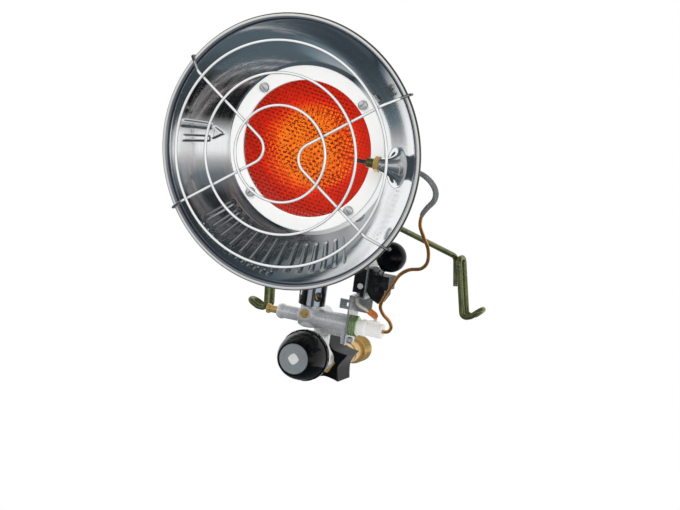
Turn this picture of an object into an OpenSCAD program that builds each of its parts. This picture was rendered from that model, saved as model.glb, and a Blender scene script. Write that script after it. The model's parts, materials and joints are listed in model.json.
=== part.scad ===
// Radiant propane heater that screws onto the valve of a gas cylinder.
// Millimetres. +Z is up and the bowl looks towards -Y. The origin is the middle
// of the left-hand inlet thread, on its axis.

/* [Reflector bowl] */
// Diameter over the rolled rim
rim_d = 216; // [210:1:224]
// Thickness of the rolled rim
bead_d = 4; // [3:0.5:5]
// Depth from the rim to the flat that carries the burner
bowl_depth = 38; // [36:0.5:42]
// Width of the flat that shows outside the retaining ring
seat_margin = 1.5; // [1:0.25:3]
// Thickness of the bowl's sheet
sheet_t = 0.8; // [0.6:0.1:1]
// Height of the bowl's axis above the inlet's axis
dish_h = 186; // [182:1:196]
// Distance of the rim's plane in front of the origin
dish_out = 216; // [214:1:224]

/* [Guard] */
// Diameter of the guard's wire
guard_wire = 2.6; // [2.2:0.1:3]
// Distance of the outer guard ring inside the rim's edge
guard_inset = 20.5; // [19:0.5:23]
// Distance from one guard ring to the next
guard_step = 25; // [22:0.5:26]
// Distance of the rings in front of the rim's plane
guard_out = 20.5; // [18:0.5:24]
// Angle of the spokes' legs from level
leg_angle = 35.6; // [34:0.2:37]
// Radius of the bend at a spoke's point
spoke_bend = 12.4; // [10:0.2:13]
// Distance of a spoke's point from the bowl's axis
spoke_tip = 14.8; // [13:0.2:16]

/* [Burner] */
// Diameter of the opening that the glowing screen fills
window_d = 108; // [104:1:108]
// Width of the retaining ring's band
ring_w = 11.5; // [10.5:0.25:13]
// Thickness of the retaining ring
ring_t = 2.8; // [2:0.2:3.4]
// Number of ring screws
ring_screw_count = 4; // [4:2:8]
// Depth of the burner's cup behind its flange
cup_depth = 24; // [22:0.5:26]
// Height that the screen bulges
screen_rise = 6; // [4:0.5:8]
// Thickness of the woven screen
screen_t = 0.6; // [0.4:0.1:0.8]
// Diameter of the perforated dome in the bottom of the cup
dome_d = 64; // [58:1:68]
// Height that the perforated dome bulges
dome_rise = 8; // [6:0.5:10]
// Thickness of the gasket
gasket_t = 1.2; // [0.8:0.1:1.6]

/* [Mixer tube] */
// Outer diameter of the tube
tube_d = 22; // [20:0.5:24]
// Wall of the tube
tube_t = 1; // [0.8:0.1:1.4]
// Length of the straight stub between the burner's cup and the elbow
stub_len = 0.7; // [0.5:0.1:3]
// Radius of the elbow, to the middle of the tube
elbow_r = 27; // [25:0.5:28]
// Diameter of the air holes
air_hole_d = 8; // [6:0.5:9]

/* [Gas valve] */
// Height of the valve barrel's axis
barrel_h = 43.5; // [43:0.5:46]
// Height of the riser that carries the mixer tube, above the barrel's axis
riser_h = 10.5; // [10.5:0.5:16]
// Diameter of the barrel
barrel_d = 16; // [15:0.5:17]
// Distance of the barrel's right end from the tube's axis
barrel_end = 35; // [33:0.5:38]
// Diameter of the barrel's chamber
chamber_d = 11.2; // [10.4:0.2:11.6]
// Diameter of the boss that guides the safety plunger
boss_d = 11; // [10:0.5:12]
// Distance of the boss's end from the tube's axis
boss_end = 28; // [26:0.5:32]
// Diameter of the safety plunger
plunger_d = 6; // [5:0.5:6.5]
// Travel of the safety plunger
plunger_travel = 4; // [3:0.5:5]
// Length of the plunger that stands out of its boss
plunger_out = 9.5; // [8:0.5:12]

/* [Tip-over switch and button] */
// Thickness of the bent plate
plate_t = 1.2; // [1:0.1:1.5]
// Thickness of the black housings, front to back
box_depth = 18; // [16:0.5:18]
// Diameter of the button's ball
ball_d = 24.6; // [22:0.2:24.8]
// Diameter of the button's stem
stem_d = 4.4; // [4:0.1:5]
// Travel of the button
button_travel = 2.5; // [1.5:0.25:2.5]

/* [Regulator] */
// Height of the bonnet's axis above the inlet's axis
bonnet_h = 11.5; // [10:0.5:12]
// Diameter of the regulator's body
reg_d = 35; // [34:0.5:36]
// Diameter of the knob
knob_d = 42.4; // [41.6:0.2:43]
// Length of the knob
knob_len = 27; // [26:0.5:29]
// Diameter of the disc on the knob's face
label_d = 25; // [22:0.5:25]
// Diameter of the bonnet's stem, which the knob turns on
bonnet_stem_d = 16; // [15:0.5:17]

/* [Inlet] */
// Outer diameter of the inlet thread
thread_d = 22.48; // [22.48:0.01:22.6]
// Length of the inlet thread
thread_len = 16; // [14:0.5:16]
// Diameter across the lobes of the handwheel
wheel_d = 41.2; // [40.4:0.2:42]
// Length of the handwheel
wheel_len = 30; // [28:0.5:30]
// Number of the handwheel's lobes
lobe_count = 5; // [5:1:6]
// Diameter of the inlet nipple
nipple_d = 11; // [10:0.5:12]

/* [Collar bracket] */
// Diameter of the bracket's rod
rod_d = 4.8; // [4:0.2:5]
// Height of the bracket's pivot
pivot_h = 147; // [145:0.5:150]
// Diameter of the pivot
pivot_d = 5.2; // [5:0.1:6]
// Angle that the heater leans in the collar
lean = 8.4; // [0:0.2:9]
// Distance of a grip from the cylinder's centre line
grip_out = 81.5; // [80:0.5:86]
// Height of a grip above the inlet's axis
grip_h = 80; // [76:0.5:82]
// Length of the tang that goes down inside the collar
tang_len = 25; // [20:0.5:28]
// Length of the hook's legs
leg_len = 50; // [46:0.5:52]
// Distance that a hook turns out
hook_out = 16; // [12:0.5:18]

/* [Thermocouple] */
// Depth of the probe behind the rim's plane
probe_back = 23; // [22:0.5:24]
// Diameter of the copper lead
lead_d = 3; // [2.6:0.1:3.2]
// Diameter of the heat sleeve over the lead
sleeve_d = 4.6; // [4:0.2:5]

/* [Hidden] */
$fn = 64;

// Clearances
run = 0.05;      // radial clearance of a running fit
slip = 0.2;      // radial clearance of a screw in its hole
gap = 0.3;       // gap between pieces that move past each other
weld = 0.1;      // depth to which welded wires sink into each other
over = 1;        // amount by which a cutting shape passes a face

// Bowl: an arc of a circle from the flat's edge to the rolled rim
rim_r = rim_d / 2;
bead_r = bead_d / 2;
wall_r = rim_r - bead_d;
window_r = window_d / 2;
ring_r = window_r + ring_w;
seat_r = ring_r + seat_margin;
bowl_c = (wall_r * wall_r - seat_r * seat_r - bowl_depth * bowl_depth) / (2 * bowl_depth);
bowl_r = sqrt(wall_r * wall_r + bowl_c * bowl_c);
flat_r = sqrt(bowl_r * bowl_r - pow(bowl_c + bowl_depth + sheet_t, 2));
fine = 256;            // sides of the large circles
medium = 128;
coarse = 32;           // sides of small cones

// Boss pressed into the bowl's wall for the thermocouple
boss_inset = 5.5;      // its foot's centre inside the middle of the wall
boss_len = 13;         // from its foot's centre to its face
boss_foot_x = (seat_r + wall_r) / 2 - boss_inset;
boss_tip_x = boss_foot_x - boss_len;
boss_tip_r = 6.5;
boss_foot_r = 16;
boss_waist_r = 8;
boss_waist = 0.42;     // where the waist lies, as a share of the way from the face to the foot
boss_face_t = 0.2;     // thickness of the discs that span the boss, at its face and its foot
boss_foot_t = 2.4;
boss_sink = 0.4;       // how far its foot's disc stands in front of the wall's middle
boss_foot_z = sqrt(bowl_r * bowl_r - boss_foot_x * boss_foot_x) - bowl_c;
boss_tilt = acos(boss_foot_x / bowl_r);

// Guard
wire_r = guard_wire / 2;
ring_outer_d = rim_d - 2 * guard_inset;        // through the wire's centre
ring_middle_d = ring_outer_d - 2 * guard_step;
ring_inner_d = ring_middle_d - 2 * guard_step;
spoke_out = guard_out - guard_wire + weld;     // plane of the spokes, behind the rings
hook_gap = bead_r + wire_r;                    // wire's path round the rolled rim
hook_path_r = rim_r - bead_r + hook_gap;       // where a hook stands outside the rim
hook_tail = 4;                                 // wire's end behind the rim's plane
spoke_turn_r = rim_r - bead_r + hook_gap * sqrt(2) - spoke_out;
spoke_elbow = 6;                               // bend between a leg and its way to the rim
spoke_steps = 7;
leg_foot = spoke_tip - spoke_bend * (1 / sin(leg_angle) - 1);

// Burner stack, measured forward from the rim's plane
seat_z = -bowl_depth;
gasket_z = seat_z - sheet_t - gasket_t;
cup_t = 0.8;
flange_z = gasket_z - cup_t;
cup_reach = 0.6;                               // cup's wall outside the window's edge
cup_wall_r = window_r + cup_reach;
cup_floor_z = flange_z - cup_depth + cup_t;
flange_margin = 2;
flange_r = seat_r - flange_margin;
screw_in = 1;                                  // by which the screws' circle is less than the band's
screw_circle = 2 * window_r + ring_w - screw_in;
screen_edge = 3;                               // screen's rim outside the window's edge
screen_lap = 2;                                // and inside it
screen_z = seat_z + screen_t;
screw_d = 4;
screw_head_d = 7.6;
screw_head_h = 2.6;
screw_slot = 1;                                // width and depth of the slot
screw_tail = 2;                                // thread that shows behind the nut
screw_turn = 45;                               // angle of the first screw from level
nut_w = 7;
nut_t = 3;
screw_end = flange_z - nut_t - screw_tail;
spout_flange_t = 1.5;
spout_z = cup_floor_z - cup_t - spout_flange_t;
spout_lip = 5;
spout_r = tube_d / 2 + spout_lip;
dome_play = 2;                                 // between the dome's skirt and the window's edge
dome_lift = 2.5;                               // back of the dome's flat rim above the cup's floor
dome_skirt_r = window_r - dome_play;
dome_z = cup_floor_z + dome_lift;

// Mixer tube
tube_foot = barrel_h + riser_h;
elbow_start = stub_len - spout_z;              // behind the rim's plane
tube_y = elbow_start + elbow_r - dish_out;
tube_r = tube_d / 2;
bore_r = tube_r - tube_t;
elbow_h = dish_h - elbow_r;
orifice_d = 7;                                 // thread of the jet
air_hole_rise = 8;                             // air holes' centres above the tube's foot
air_hole_turn = 45;
shank_len = 6;                                 // jet's shank below the riser's top
jet_hex_w = 10;
jet_hex_h = 3.5;
jet_base_d = 8;
jet_tip_d = 4;
jet_cone_h = 5;
jet_feed_d = 3;
jet_feed_end = 5;                              // end of the wide bore above the riser's top
jet_hole_d = 1;

// Gas valve
stem_top = tube_foot;                          // top of the riser
riser_d = 15;
riser_lip_w = 1.5;
riser_lip_t = 2;
riser_bore_d = 4;
barrel_r = barrel_d / 2;
chamber_r = chamber_d / 2;
chamber_start = -4;
seat_hole_d = 8;                               // opening that the valve disc closes
seat_x = 5;                                    // the disc's seat
boss_band_at = 5;                              // start of the boss's band, from its end
boss_band_len = 3;
boss_band_h = 0.8;
plug_boss_d = 12;
plug_rise = 4;                                 // plug's axis above the barrel's
plug_out = 13;                                 // front of the plug's boss from the axis
plug_d = 6;
plug_len = 3;
plug_head_w = 0.5;
plug_head_h = 1.4;
plug_slot_w = 1;
plug_slot_depth = 0.8;
neck_x = 2.5;
neck_y = -95;                                  // axis of the neck's upright
neck_d = 13.6;
port_d = 5;                                    // gas passages
port_wall = 1;                                 // between the seat and the passage
pad_h = 30;                                    // top of the regulator's flat pad
pad_d = 15;                                    // flange where the neck stands on the body
pad_t = 3;
lug_t = 4;
lug_w = 14;
lug_drop = 15.5;                               // lug's lower end below the barrel's axis
rib_x = 12;
rib_t = 3;
rib_drop = 3;
plate_screw_drop = 12.4;                       // screw's axis below the barrel's
plate_screw_d = 3;
magnet_d = 10.4;
magnet_stub_d = 7.8;
magnet_stub_in = 3;                            // depth of the stub in the block
magnet_nut_w = 15;
magnet_nut_t = 6;
plate_x = barrel_end;
magnet_nut_x = plate_x + plate_t;
block_x = magnet_nut_x + magnet_nut_t;
block_len = 21;
block_d = 12;
block_band_at = 4;
block_band_len = 3;
block_band_h = 0.8;
tab_at = 9;                                    // raised tab on the block
tab_len = 8;
tab_w = 6;
tab_t = 3;
tab_out = 1;
lead_in = 3;                                   // depth of the lead in the block
disc_x = seat_x + gap;                         // valve disc's face at rest
disc_t = 2;
disc_d = 9.6;
disc_neck_d = 3;
disc_neck_len = 5;
rod_tip_x = -boss_end - plunger_out;
rod_cap_w = 1;
rod_cap_h = 2.5;
rod_dimple_d = 2;
return_spring_r = 3.4;
return_wire = 0.8;
return_turns = 5;
return_short = 4.7;                            // spring's length with the plunger pushed in
magnet_start = disc_x + disc_t + plunger_travel + return_short;

// Switch plate and its two housings, above the barrel
plate_w = 22;
plate_lead = 10;                               // plate's front edge from the tube's axis
plate_front = tube_y - plate_lead;
plate_back = plate_front + plate_w;
plate_low = barrel_h - lug_drop;
plate_screw_h = barrel_h - plate_screw_drop;
plate_screw_head_d = 5.4;
plate_screw_head_h = 2;
plate_screw_slot = 0.8;
plate_screw_tail = 1;
shelf_h = barrel_h + 24.5;
upper_x = 46.5;
plate_top = shelf_h + 32;
wing_w = 15;                                   // plate's rear wing to the left of its lower leg
wing_low = barrel_h + barrel_r + 2;
wing_slot_x = plate_x - 9;
wing_h = 8;
wing_slot_z = wing_low + 2.5;
wing_slot_w = 5;
wing_slot_h = 3;
wire_hole_d = 5.6;
box_front = tube_y - box_depth / 2 + 1;
tip_box_w = 10.6;
tip_box_x = upper_x - tip_box_w;
tip_box_low = shelf_h + 4;
tip_box_high = tip_box_low + 20;
lid_margin = 2;
lid_h = 1.2;
rivet_h = tip_box_low + 6;                     // rivet through the tip-over switch
back_top = rivet_h + 5;                         // plate behind the tip-over switch
back_x = tip_box_x - 1;
cross_rivet_h = tip_box_low + 15;              // rivet through both housings
cross_rivet_in = 2;                            // its depth in the button's housing
rivet_x = 42.6;
rivet_d = 3;
rivet_play = 0.1;
rivet_head_d = 5;
rivet_head_h = 1;
housing_x = upper_x + plate_t;
housing_margin = 1;
// Outline of the button's housing, from the plate's right face and the switch's lower edge
housing_outline = [[0, 2], [0, 21], [2.8, 21], [2.8, 17], [17.3, 17], [17.3, 6],
                   [14.8, 6], [14.8, 1], [10.8, -6], [4.3, -3]];
ball_x = 61.5;
ball_z = tip_box_low + 32.3;
ball_foot_w = 1;
ball_foot_h = 2.4;
ball_foot_in = 2;
push_x = -0.43;                                // direction in which the button is pushed
push_z = -sqrt(1 - push_x * push_x);
stem_in = 20;                                  // stem's length from the ball's centre
stem_start = 4;                                // stem's upper end from the ball's centre
stem_y = tube_y + 1;

// Thermocouple
probe_y = probe_back - dish_out;
probe_reach = 20.5;                            // probe's tip beyond the boss's face
probe_tip_x = boss_tip_x - probe_reach;
probe_d = 3.2;
collar_len = 6.5;
collar_d = 7.6;
tc_nut_w = 11;
tc_nut_t = 4.5;
collar_x = boss_tip_x - tc_nut_t - collar_len;
probe_end = 20;                                // probe's outer end inside the rim's edge
probe_end_x = rim_r - probe_end;

// Regulator and knob
body_front = -117;
body_t = 9;                                    // length of the wide part
body_back = -77;
reg_r = reg_d / 2;
reg_wall = 3.5;
cavity_r = reg_r - reg_wall;
cavity_depth = 6;
cavity_back = body_front + cavity_depth;
bonnet_t = 2.6;
bonnet_front = body_front - bonnet_t;
bonnet_stem_r = bonnet_stem_d / 2;
bonnet_stem_len = 14;
bonnet_wall = 1.4;
bonnet_cap = 2;
stem_front = bonnet_front - bonnet_stem_len;
knob_r = knob_d / 2;
knob_gap = 0.4;                                // between the knob's back and the bonnet
knob_back = bonnet_front - knob_gap;
knob_wall = 2;
knob_hub_r = bonnet_stem_r + 3;
knob_hub_start = 3;
knob_face_t = 6;
knob_lip = 1.3;
knob_face_r = label_d / 2 + knob_lip;
knob_edge = 0.8;
skirt_h = 5;                                   // band behind the groove
groove_r = knob_r - 1.8;
groove_w = 1;
bell_in = 0.8;                                 // bell's widest place inside the band's
bell_r = knob_r - bell_in;
bell_last = acos(knob_face_r / bell_r);        // the bell is part of an ellipse
bell_c = knob_len / sin(bell_last);
bell_first = asin((skirt_h + groove_w) / bell_c);
bell_steps = 12;
knob_bore_r = groove_r - knob_wall;
knob_bore_h = 12;
flute_count = 12;
flute_r = 1.2;
flute_out = 0.6;
flute_len = 3.4;
label_t = 1;
mark_d = 6.4;
mark_depth = 0.4;
inlet_boss_d = 19;
inlet_boss_h = 3;                              // boss's axis above the inlet's
web_w = 11;                                    // web between the body and the neck
web_h = 24;
inlet_hole_d = 3;
port_depth = 15;
link_h = 18;                                   // height of the passage from the cavity to the port
link_d = 4;
diaphragm_t = 1;
diaphragm_lift = 3;
diaphragm_y = cavity_back - diaphragm_lift;
spring_wire = 1.4;
spring_r = 5.2;
spring_turns = 6;

// Inlet
thread_r = thread_d / 2;
nipple_r = nipple_d / 2;
wheel_gap = 36;                                // from the thread's end to the wheel
wheel_back = -thread_len / 2 - wheel_gap;
wheel_front = wheel_back - wheel_len;
wheel_r = wheel_d / 2;
wheel_edge = 2;                                // step at each end of the wheel
wheel_step = 1.5;
lobe_turn = 48;                                // direction of the first lobe below level
notch_r = 17;                                  // hollow between two lobes
notch_depth = 4.2;
nut_stem_r = 9;
nut_front = wheel_front + 1;
spigot_d = 9;
spigot_in = 8;
inlet_bore_depth = 11;                         // wide bore for the nipple's spigot
inlet_bore_end = body_back - inlet_bore_depth;
nipple_bore_d = 4;
nipple_bore_len = 120;
nose_r = 7.6;
nose_tip_r = 4.4;
nose_band = 3;
nose_cone = 4;
nose_start = thread_len / 2 + gap;
seal_wire_r = 0.9;
hex_start = wheel_front - gap;                   // end of the nipple's hexagon
hex_w = 17;
hex_lap = 2;

// Bracket
rod_r = rod_d / 2;
pivot_lead = 5;
pivot_y = tube_y + tube_r + pivot_lead;        // where the pivot leaves the clamp
pivot_tail = 3;
hub_r = 6.2;
hub_len = 7;
hub_y = pivot_y + gap;
hub_mid = [0, hub_y + hub_len / 2, pivot_h];
clip_t = 1.4;
clip_w = 2.2;
clamp_t = 1.6;
clamp_h = 13;
clamp_block_w = 10;
ear_w = 8;
ear_out = 7;
ear_slit = 1.6;
ear_hole_d = 3.2;
ear_hole_in = 3;                               // hole's axis from the ears' front
clamp_screw_d = 3;
clamp_head_d = 6;
clamp_head_h = 2;
clamp_nut_w = 5.5;
clamp_nut_t = 2.4;
clamp_screw_tail = 0.6;
collar_back = 22;                              // collar's centre line behind the origin
arm_start = 9;         // straight stretch of an arm beyond the hub, square to the pivot
arm_start_bend = 8;
arm_bend = 6;
leg_gap = 12;                                  // between the two legs of a hook
leg_slope = 3;
hook_join = 0.5;                               // half of the gap where a hook's ends meet
hook_drop = 1;                                 // hook's top below the grip
hook_top = grip_h - hook_drop;
hook_sag = 1.5;
hook_rise = 7;
hook_shoulder = 4;
hook_knee = 6;
hook_bend = 5.5;

// Hand-chosen route of the thermocouple lead: its upper half from the right end of the rim,
// and its lower half from where the barrel's axis crosses the tube's axis
lead_upper = [[-20, 23, 0], [-13, 23, 0], [-6, 25, -2], [0, 29, -7], [3, 34, -14],
              [1, 40, -22], [-6, 46, -30], [-11, 51, -37], [-13, 56, -46], [-11, 62, -55]];
lead_lower = [[100, -25, 77], [99, -19, 66], [93, -15, 59], [83, -13, 56], [75, -12, 50],
              [70, -11, 41], [65, -11, 31], [62, -10, 22], [64, -6, 15], [68, -2, 10],
              [70, 0, 5], [68, 0, 1], [64, 0, 0], [61, 0, 0]];
sleeve_last = 7;                               // where the heat sleeve ends on the route
// Hand-chosen route of the switch wires, from the same crossing
wire_route = [[40, -5, 28.2], [40, -5, 24], [41, -6.5, 20.5], [44.5, -9, 18.5],
              [49.5, -8, 16.5], [54, -4.5, 13.8], [56, -0.8, 10.8], [56, 0, 7.3]];
wire_d = 1.8;
wire_gap = 2.4;
wire_sleeve_first = 13;                        // stretch of the route that the sleeve covers
wire_sleeve_last = 18;
wire_sleeve_t = 0.5;
tube_sides = 8;
rod_sides = 10;
route_steps = 3;
arc_steps = 6;

// Vector helpers
function unit(v) = v / norm(v);
function tangents(p) = [for (i = [0:len(p) - 1])
    unit(p[min(i + 1, len(p) - 1)] - p[max(i - 1, 0)])];
function carry(t, n, i = 0) = i >= len(t) ? [] :
    let (m = unit(n - (n * t[i]) * t[i])) concat([m], carry(t, m, i + 1));
// A smooth curve through the points p, with a given number of steps per stretch
function blend(a, b, c, d, u) = 0.5 * (2 * b + (c - a) * u + (2 * a - 5 * b + 4 * c - d) * u * u
    + (3 * b - a - 3 * c + d) * u * u * u);
function smooth(p, steps) = concat([for (i = [0:len(p) - 2]) for (k = [0:steps - 1])
    blend(p[max(i - 1, 0)], p[i], p[i + 1], p[min(i + 2, len(p) - 1)], k / steps)],
    [p[len(p) - 1]]);
function part_of(p, a, b) = [for (i = [a:b]) p[i]];
function shifted(p, by) = [for (q = p) q + by];
function reversed(p) = [for (i = [len(p) - 1:-1:0]) p[i]];
// A path beside the path p, at the distance d from it
function beside(p, d) = let (n = carry(tangents(p), [0, 1, 0]))
    [for (i = [0:len(p) - 1]) p[i] + d * n[i]];
// The arc of radius r that rounds the corner b between a and c
function arc_at(a, b, c, r, steps) = let (u = unit(a - b), v = unit(c - b), h = acos(u * v) / 2,
    m = b + unit(u + v) * r / sin(h), s = unit(b + u * r / tan(h) - m),
    e = b + v * r / tan(h) - m, w = unit(e - (e * s) * s), turn = 180 - 2 * h)
    [for (k = [0:steps]) m + r * (cos(turn * k / steps) * s + sin(turn * k / steps) * w)];
// A path through the points p, its corners rounded with the radii r
function rounded(p, r, steps = arc_steps) = concat([p[0]],
    [for (i = [1:len(p) - 2]) each arc_at(p[i - 1], p[i], p[i + 1], r[i - 1], steps)],
    [p[len(p) - 1]]);
// A point of the collar's level frame, given in the heater's leaning frame
function leaning(x, y, z) = [x * cos(lean) - z * sin(lean), y, x * sin(lean) + z * cos(lean)];

// A round tube or rod swept along points
module sweep(points, r, sides = tube_sides) {
    t = tangents(points);
    n = carry(t, abs(t[0][1]) < 0.9 ? [0, 1, 0] : [0, 0, 1]);
    last = len(points) - 1;
    rings = [for (i = [0:last]) for (k = [0:sides - 1])
        points[i] + r * (cos(360 * k / sides) * n[i] + sin(360 * k / sides) * cross(t[i], n[i]))];
    walls = [for (i = [0:last - 1]) for (k = [0:sides - 1]) let (m = (k + 1) % sides)
        [i * sides + k, (i + 1) * sides + k, (i + 1) * sides + m, i * sides + m]];
    polyhedron(rings, concat([[for (k = [0:sides - 1]) k]], walls,
        [[for (k = [sides - 1:-1:0]) last * sides + k]]), convexity = 6);
}
// A coil spring along Z, standing on z = 0
module coil(r, wire, height, turns, per_turn = 12) {
    count = turns * per_turn;
    sweep([for (i = [0:count]) [r * cos(360 * i / per_turn), r * sin(360 * i / per_turn),
        wire / 2 + (height - wire) * i / count]], wire / 2, 6);
}
// A hexagon's prism of width w across its flats
module hex(w, h) cylinder(r = w / 2 / cos(30), h = h, $fn = 6);
// A ring of wire
module wire_ring(d, wire) rotate_extrude() translate([d / 2, 0]) circle(d = wire);

// Local frames: Z towards the viewer along the bowl's axis, or along another axis
module on_dish() translate([0, -dish_out, dish_h]) rotate([90, 0, 0]) children();
module facing_front(y, z) translate([0, y, z]) rotate([90, 0, 0]) children();
module facing_back(y, z) translate([0, y, z]) rotate([-90, 0, 0]) children();
module facing_right(x, y, z) translate([x, y, z]) rotate([0, 90, 0]) children();
module facing_left(x, y, z) translate([x, y, z]) rotate([0, -90, 0]) children();
module on_ring_screws() for (i = [0:ring_screw_count - 1])
    rotate(screw_turn + 360 * i / ring_screw_count) translate([screw_circle / 2, 0]) children();
// The screws' holes through a sheet of thickness t whose back is at z
module ring_screw_holes(z, t) on_ring_screws() translate([0, 0, z - over])
    cylinder(d = screw_d + 2 * slip, h = t + 2 * over);

// Section of the bowl: flat, curved wall and rolled rim
module bowl_section() {
    translate([window_r, seat_z - sheet_t]) square([flat_r - window_r, sheet_t]);
    intersection() {
        translate([0, bowl_c]) difference() {
            circle(bowl_r, $fn = fine);
            circle(bowl_r - sheet_t, $fn = fine);
        }
        translate([0, seat_z - sheet_t]) square([rim_r, bowl_depth + sheet_t]);
    }
    translate([rim_r - bead_r, 0]) circle(bead_r);
}
// A disc of the boss: u runs from 0 at its face to 1 at its foot
module boss_disc(u, r, inset)
    translate([boss_tip_x + inset * (1 - u) + boss_len * u, 0,
        -probe_back - (boss_foot_z - probe_back) * u])
    rotate([0, 90 + boss_tilt * u, 0]) translate([0, 0, (2 * inset - boss_sink) * u])
    cylinder(r = r - inset, h = boss_face_t + (boss_foot_t - boss_face_t) * u, $fn = coarse);
// The pressed boss, or the hollow behind it when it is drawn smaller and further back
module wall_boss(inset) {
    hull() {
        boss_disc(0, boss_tip_r, inset);
        boss_disc(boss_waist, boss_waist_r, inset);
    }
    hull() {
        boss_disc(boss_waist, boss_waist_r, inset);
        boss_disc(1, boss_foot_r, inset);
    }
}
module reflector() color("silver") on_dish() difference() {
    union() {
        rotate_extrude($fn = medium) bowl_section();
        intersection() {
            wall_boss(0);
            translate([0, 0, bowl_c]) sphere(bowl_r - sheet_t / 2, $fn = fine);
        }
    }
    wall_boss(sheet_t);
    translate([0, 0, -probe_back]) rotate([0, 90, 0])
        cylinder(d = probe_d + 2 * slip, h = rim_r - bead_r);
    ring_screw_holes(seat_z - sheet_t, sheet_t);
}

module guard_ring_outer() color("gainsboro") on_dish() translate([0, 0, guard_out])
    wire_ring(ring_outer_d, guard_wire);
module guard_ring_middle() color("gainsboro") on_dish() translate([0, 0, guard_out])
    wire_ring(ring_middle_d, guard_wire);
module guard_ring_inner() color("gainsboro") on_dish() translate([0, 0, guard_out])
    wire_ring(ring_inner_d, guard_wire);
// Where a leg, at the distance r from the bowl's axis, turns back towards the rim
function leg_at(r) = let (s = sqrt(r * r - pow(leg_foot * sin(leg_angle), 2))
    - leg_foot * cos(leg_angle)) [leg_foot + s * cos(leg_angle), s * sin(leg_angle)];
// One spoke: hooked over the rim, along one leg, round the point, and back to the rim
function spoke_path() = let (turn = leg_at(spoke_turn_r), a = atan2(turn[1], turn[0]),
    x = hook_path_r * cos(a), y = hook_path_r * sin(a), z = hook_gap * tan(22.5))
    [[x, -y, -hook_tail], [x, -y, z], [turn[0], -turn[1], spoke_out], [leg_foot, 0, spoke_out],
     [turn[0], turn[1], spoke_out], [x, y, z], [x, y, -hook_tail]];
module spoke() sweep(rounded(spoke_path(),
    [hook_gap, spoke_elbow, spoke_bend, spoke_elbow, hook_gap], spoke_steps), wire_r, rod_sides);
module guard_spoke_right() color("gainsboro") on_dish() spoke();
module guard_spoke_left() color("gainsboro") on_dish() mirror([1, 0, 0]) spoke();

module retaining_ring() color("white") on_dish() difference() {
    translate([0, 0, screen_z]) cylinder(r = ring_r, h = ring_t);
    translate([0, 0, screen_z - over]) cylinder(r = window_r, h = ring_t + 2 * over);
    ring_screw_holes(screen_z, ring_t);
}
// A thin cap of a sphere: rise at the middle, over a circle of radius r
module cap_section(r, rise, t) {
    cap_r = (r * r + rise * rise) / (2 * rise);
    intersection() {
        translate([0, rise - cap_r]) difference() {
            circle(cap_r, $fn = fine);
            circle(cap_r - t, $fn = fine);
        }
        square([r, rise + over]);
    }
}
module burner_screen() color("orangered") on_dish() translate([0, 0, seat_z]) rotate_extrude() {
    cap_section(window_r - gap, screen_rise, screen_t);
    translate([window_r - screen_lap, 0]) square([screen_edge + screen_lap, screen_t]);
}
module radiant_dome() color("orange") on_dish() rotate_extrude() {
    translate([0, dome_z]) cap_section(dome_d / 2, dome_rise, cup_t);
    translate([dome_d / 2 - cup_t, dome_z]) square([dome_skirt_r - dome_d / 2 + cup_t, cup_t]);
    translate([dome_skirt_r - cup_t, cup_floor_z]) square([cup_t, dome_lift + cup_t]);
}
module burner_gasket() color("lightgray") on_dish() difference() {
    translate([0, 0, gasket_z]) cylinder(r = flange_r, h = gasket_t);
    translate([0, 0, gasket_z - over]) cylinder(r = cup_wall_r - cup_t, h = gasket_t + 2 * over);
    ring_screw_holes(gasket_z, gasket_t);
}
module burner_cup() color("silver") on_dish() difference() {
    union() {
        translate([0, 0, flange_z]) cylinder(r = flange_r, h = cup_t);
        translate([0, 0, cup_floor_z - cup_t]) cylinder(r = cup_wall_r, h = cup_depth);
    }
    translate([0, 0, cup_floor_z]) cylinder(r = cup_wall_r - cup_t, h = cup_depth + over);
    translate([0, 0, cup_floor_z - cup_t - over]) cylinder(r = bore_r, h = cup_t + 2 * over);
    ring_screw_holes(flange_z, cup_t);
}
module ring_screws() color("lightgray") on_dish() on_ring_screws() {
    translate([0, 0, screen_z + ring_t]) difference() {
        intersection() {
            cylinder(d = screw_head_d, h = screw_head_h);
            translate([0, 0, screw_head_h - screw_head_d]) sphere(screw_head_d);
        }
        translate([-screw_head_d, -screw_slot / 2, screw_head_h - screw_slot])
            cube([2 * screw_head_d, screw_slot, over + screw_slot]);
    }
    translate([0, 0, screw_end]) cylinder(d = screw_d, h = screen_z + ring_t - screw_end);
}
module ring_nuts() color("silver") on_dish() on_ring_screws() translate([0, 0, flange_z - nut_t])
    difference() {
        hex(nut_w, nut_t);
        translate([0, 0, -over]) cylinder(d = screw_d, h = nut_t + 2 * over);
    }

module burner_elbow() color("gainsboro") {
    on_dish() translate([0, 0, -elbow_start]) difference() {
        union() {
            translate([0, 0, elbow_start + spout_z]) cylinder(r = spout_r, h = spout_flange_t);
            cylinder(r = tube_r, h = elbow_start + spout_z);
        }
        translate([0, 0, -over])
            cylinder(r = bore_r, h = elbow_start + spout_z + spout_flange_t + 2 * over);
    }
    translate([0, tube_y - elbow_r, elbow_h]) rotate([90, 0, 90]) rotate_extrude(angle = 90)
        translate([elbow_r, 0]) difference() {
            circle(tube_r);
            circle(bore_r);
        }
}
module mixer_tube() color("gainsboro") translate([0, tube_y, tube_foot]) difference() {
    cylinder(r = tube_r, h = elbow_h - tube_foot);
    translate([0, 0, tube_t]) cylinder(r = bore_r, h = elbow_h - tube_foot);
    translate([0, 0, -over]) cylinder(d = orifice_d, h = tube_t + 2 * over);
    for (a = [1, 3]) translate([0, 0, air_hole_rise]) rotate(a * air_hole_turn)
        rotate([0, 90, 0]) cylinder(d = air_hole_d, h = tube_d + 2 * over, center = true);
}
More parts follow.
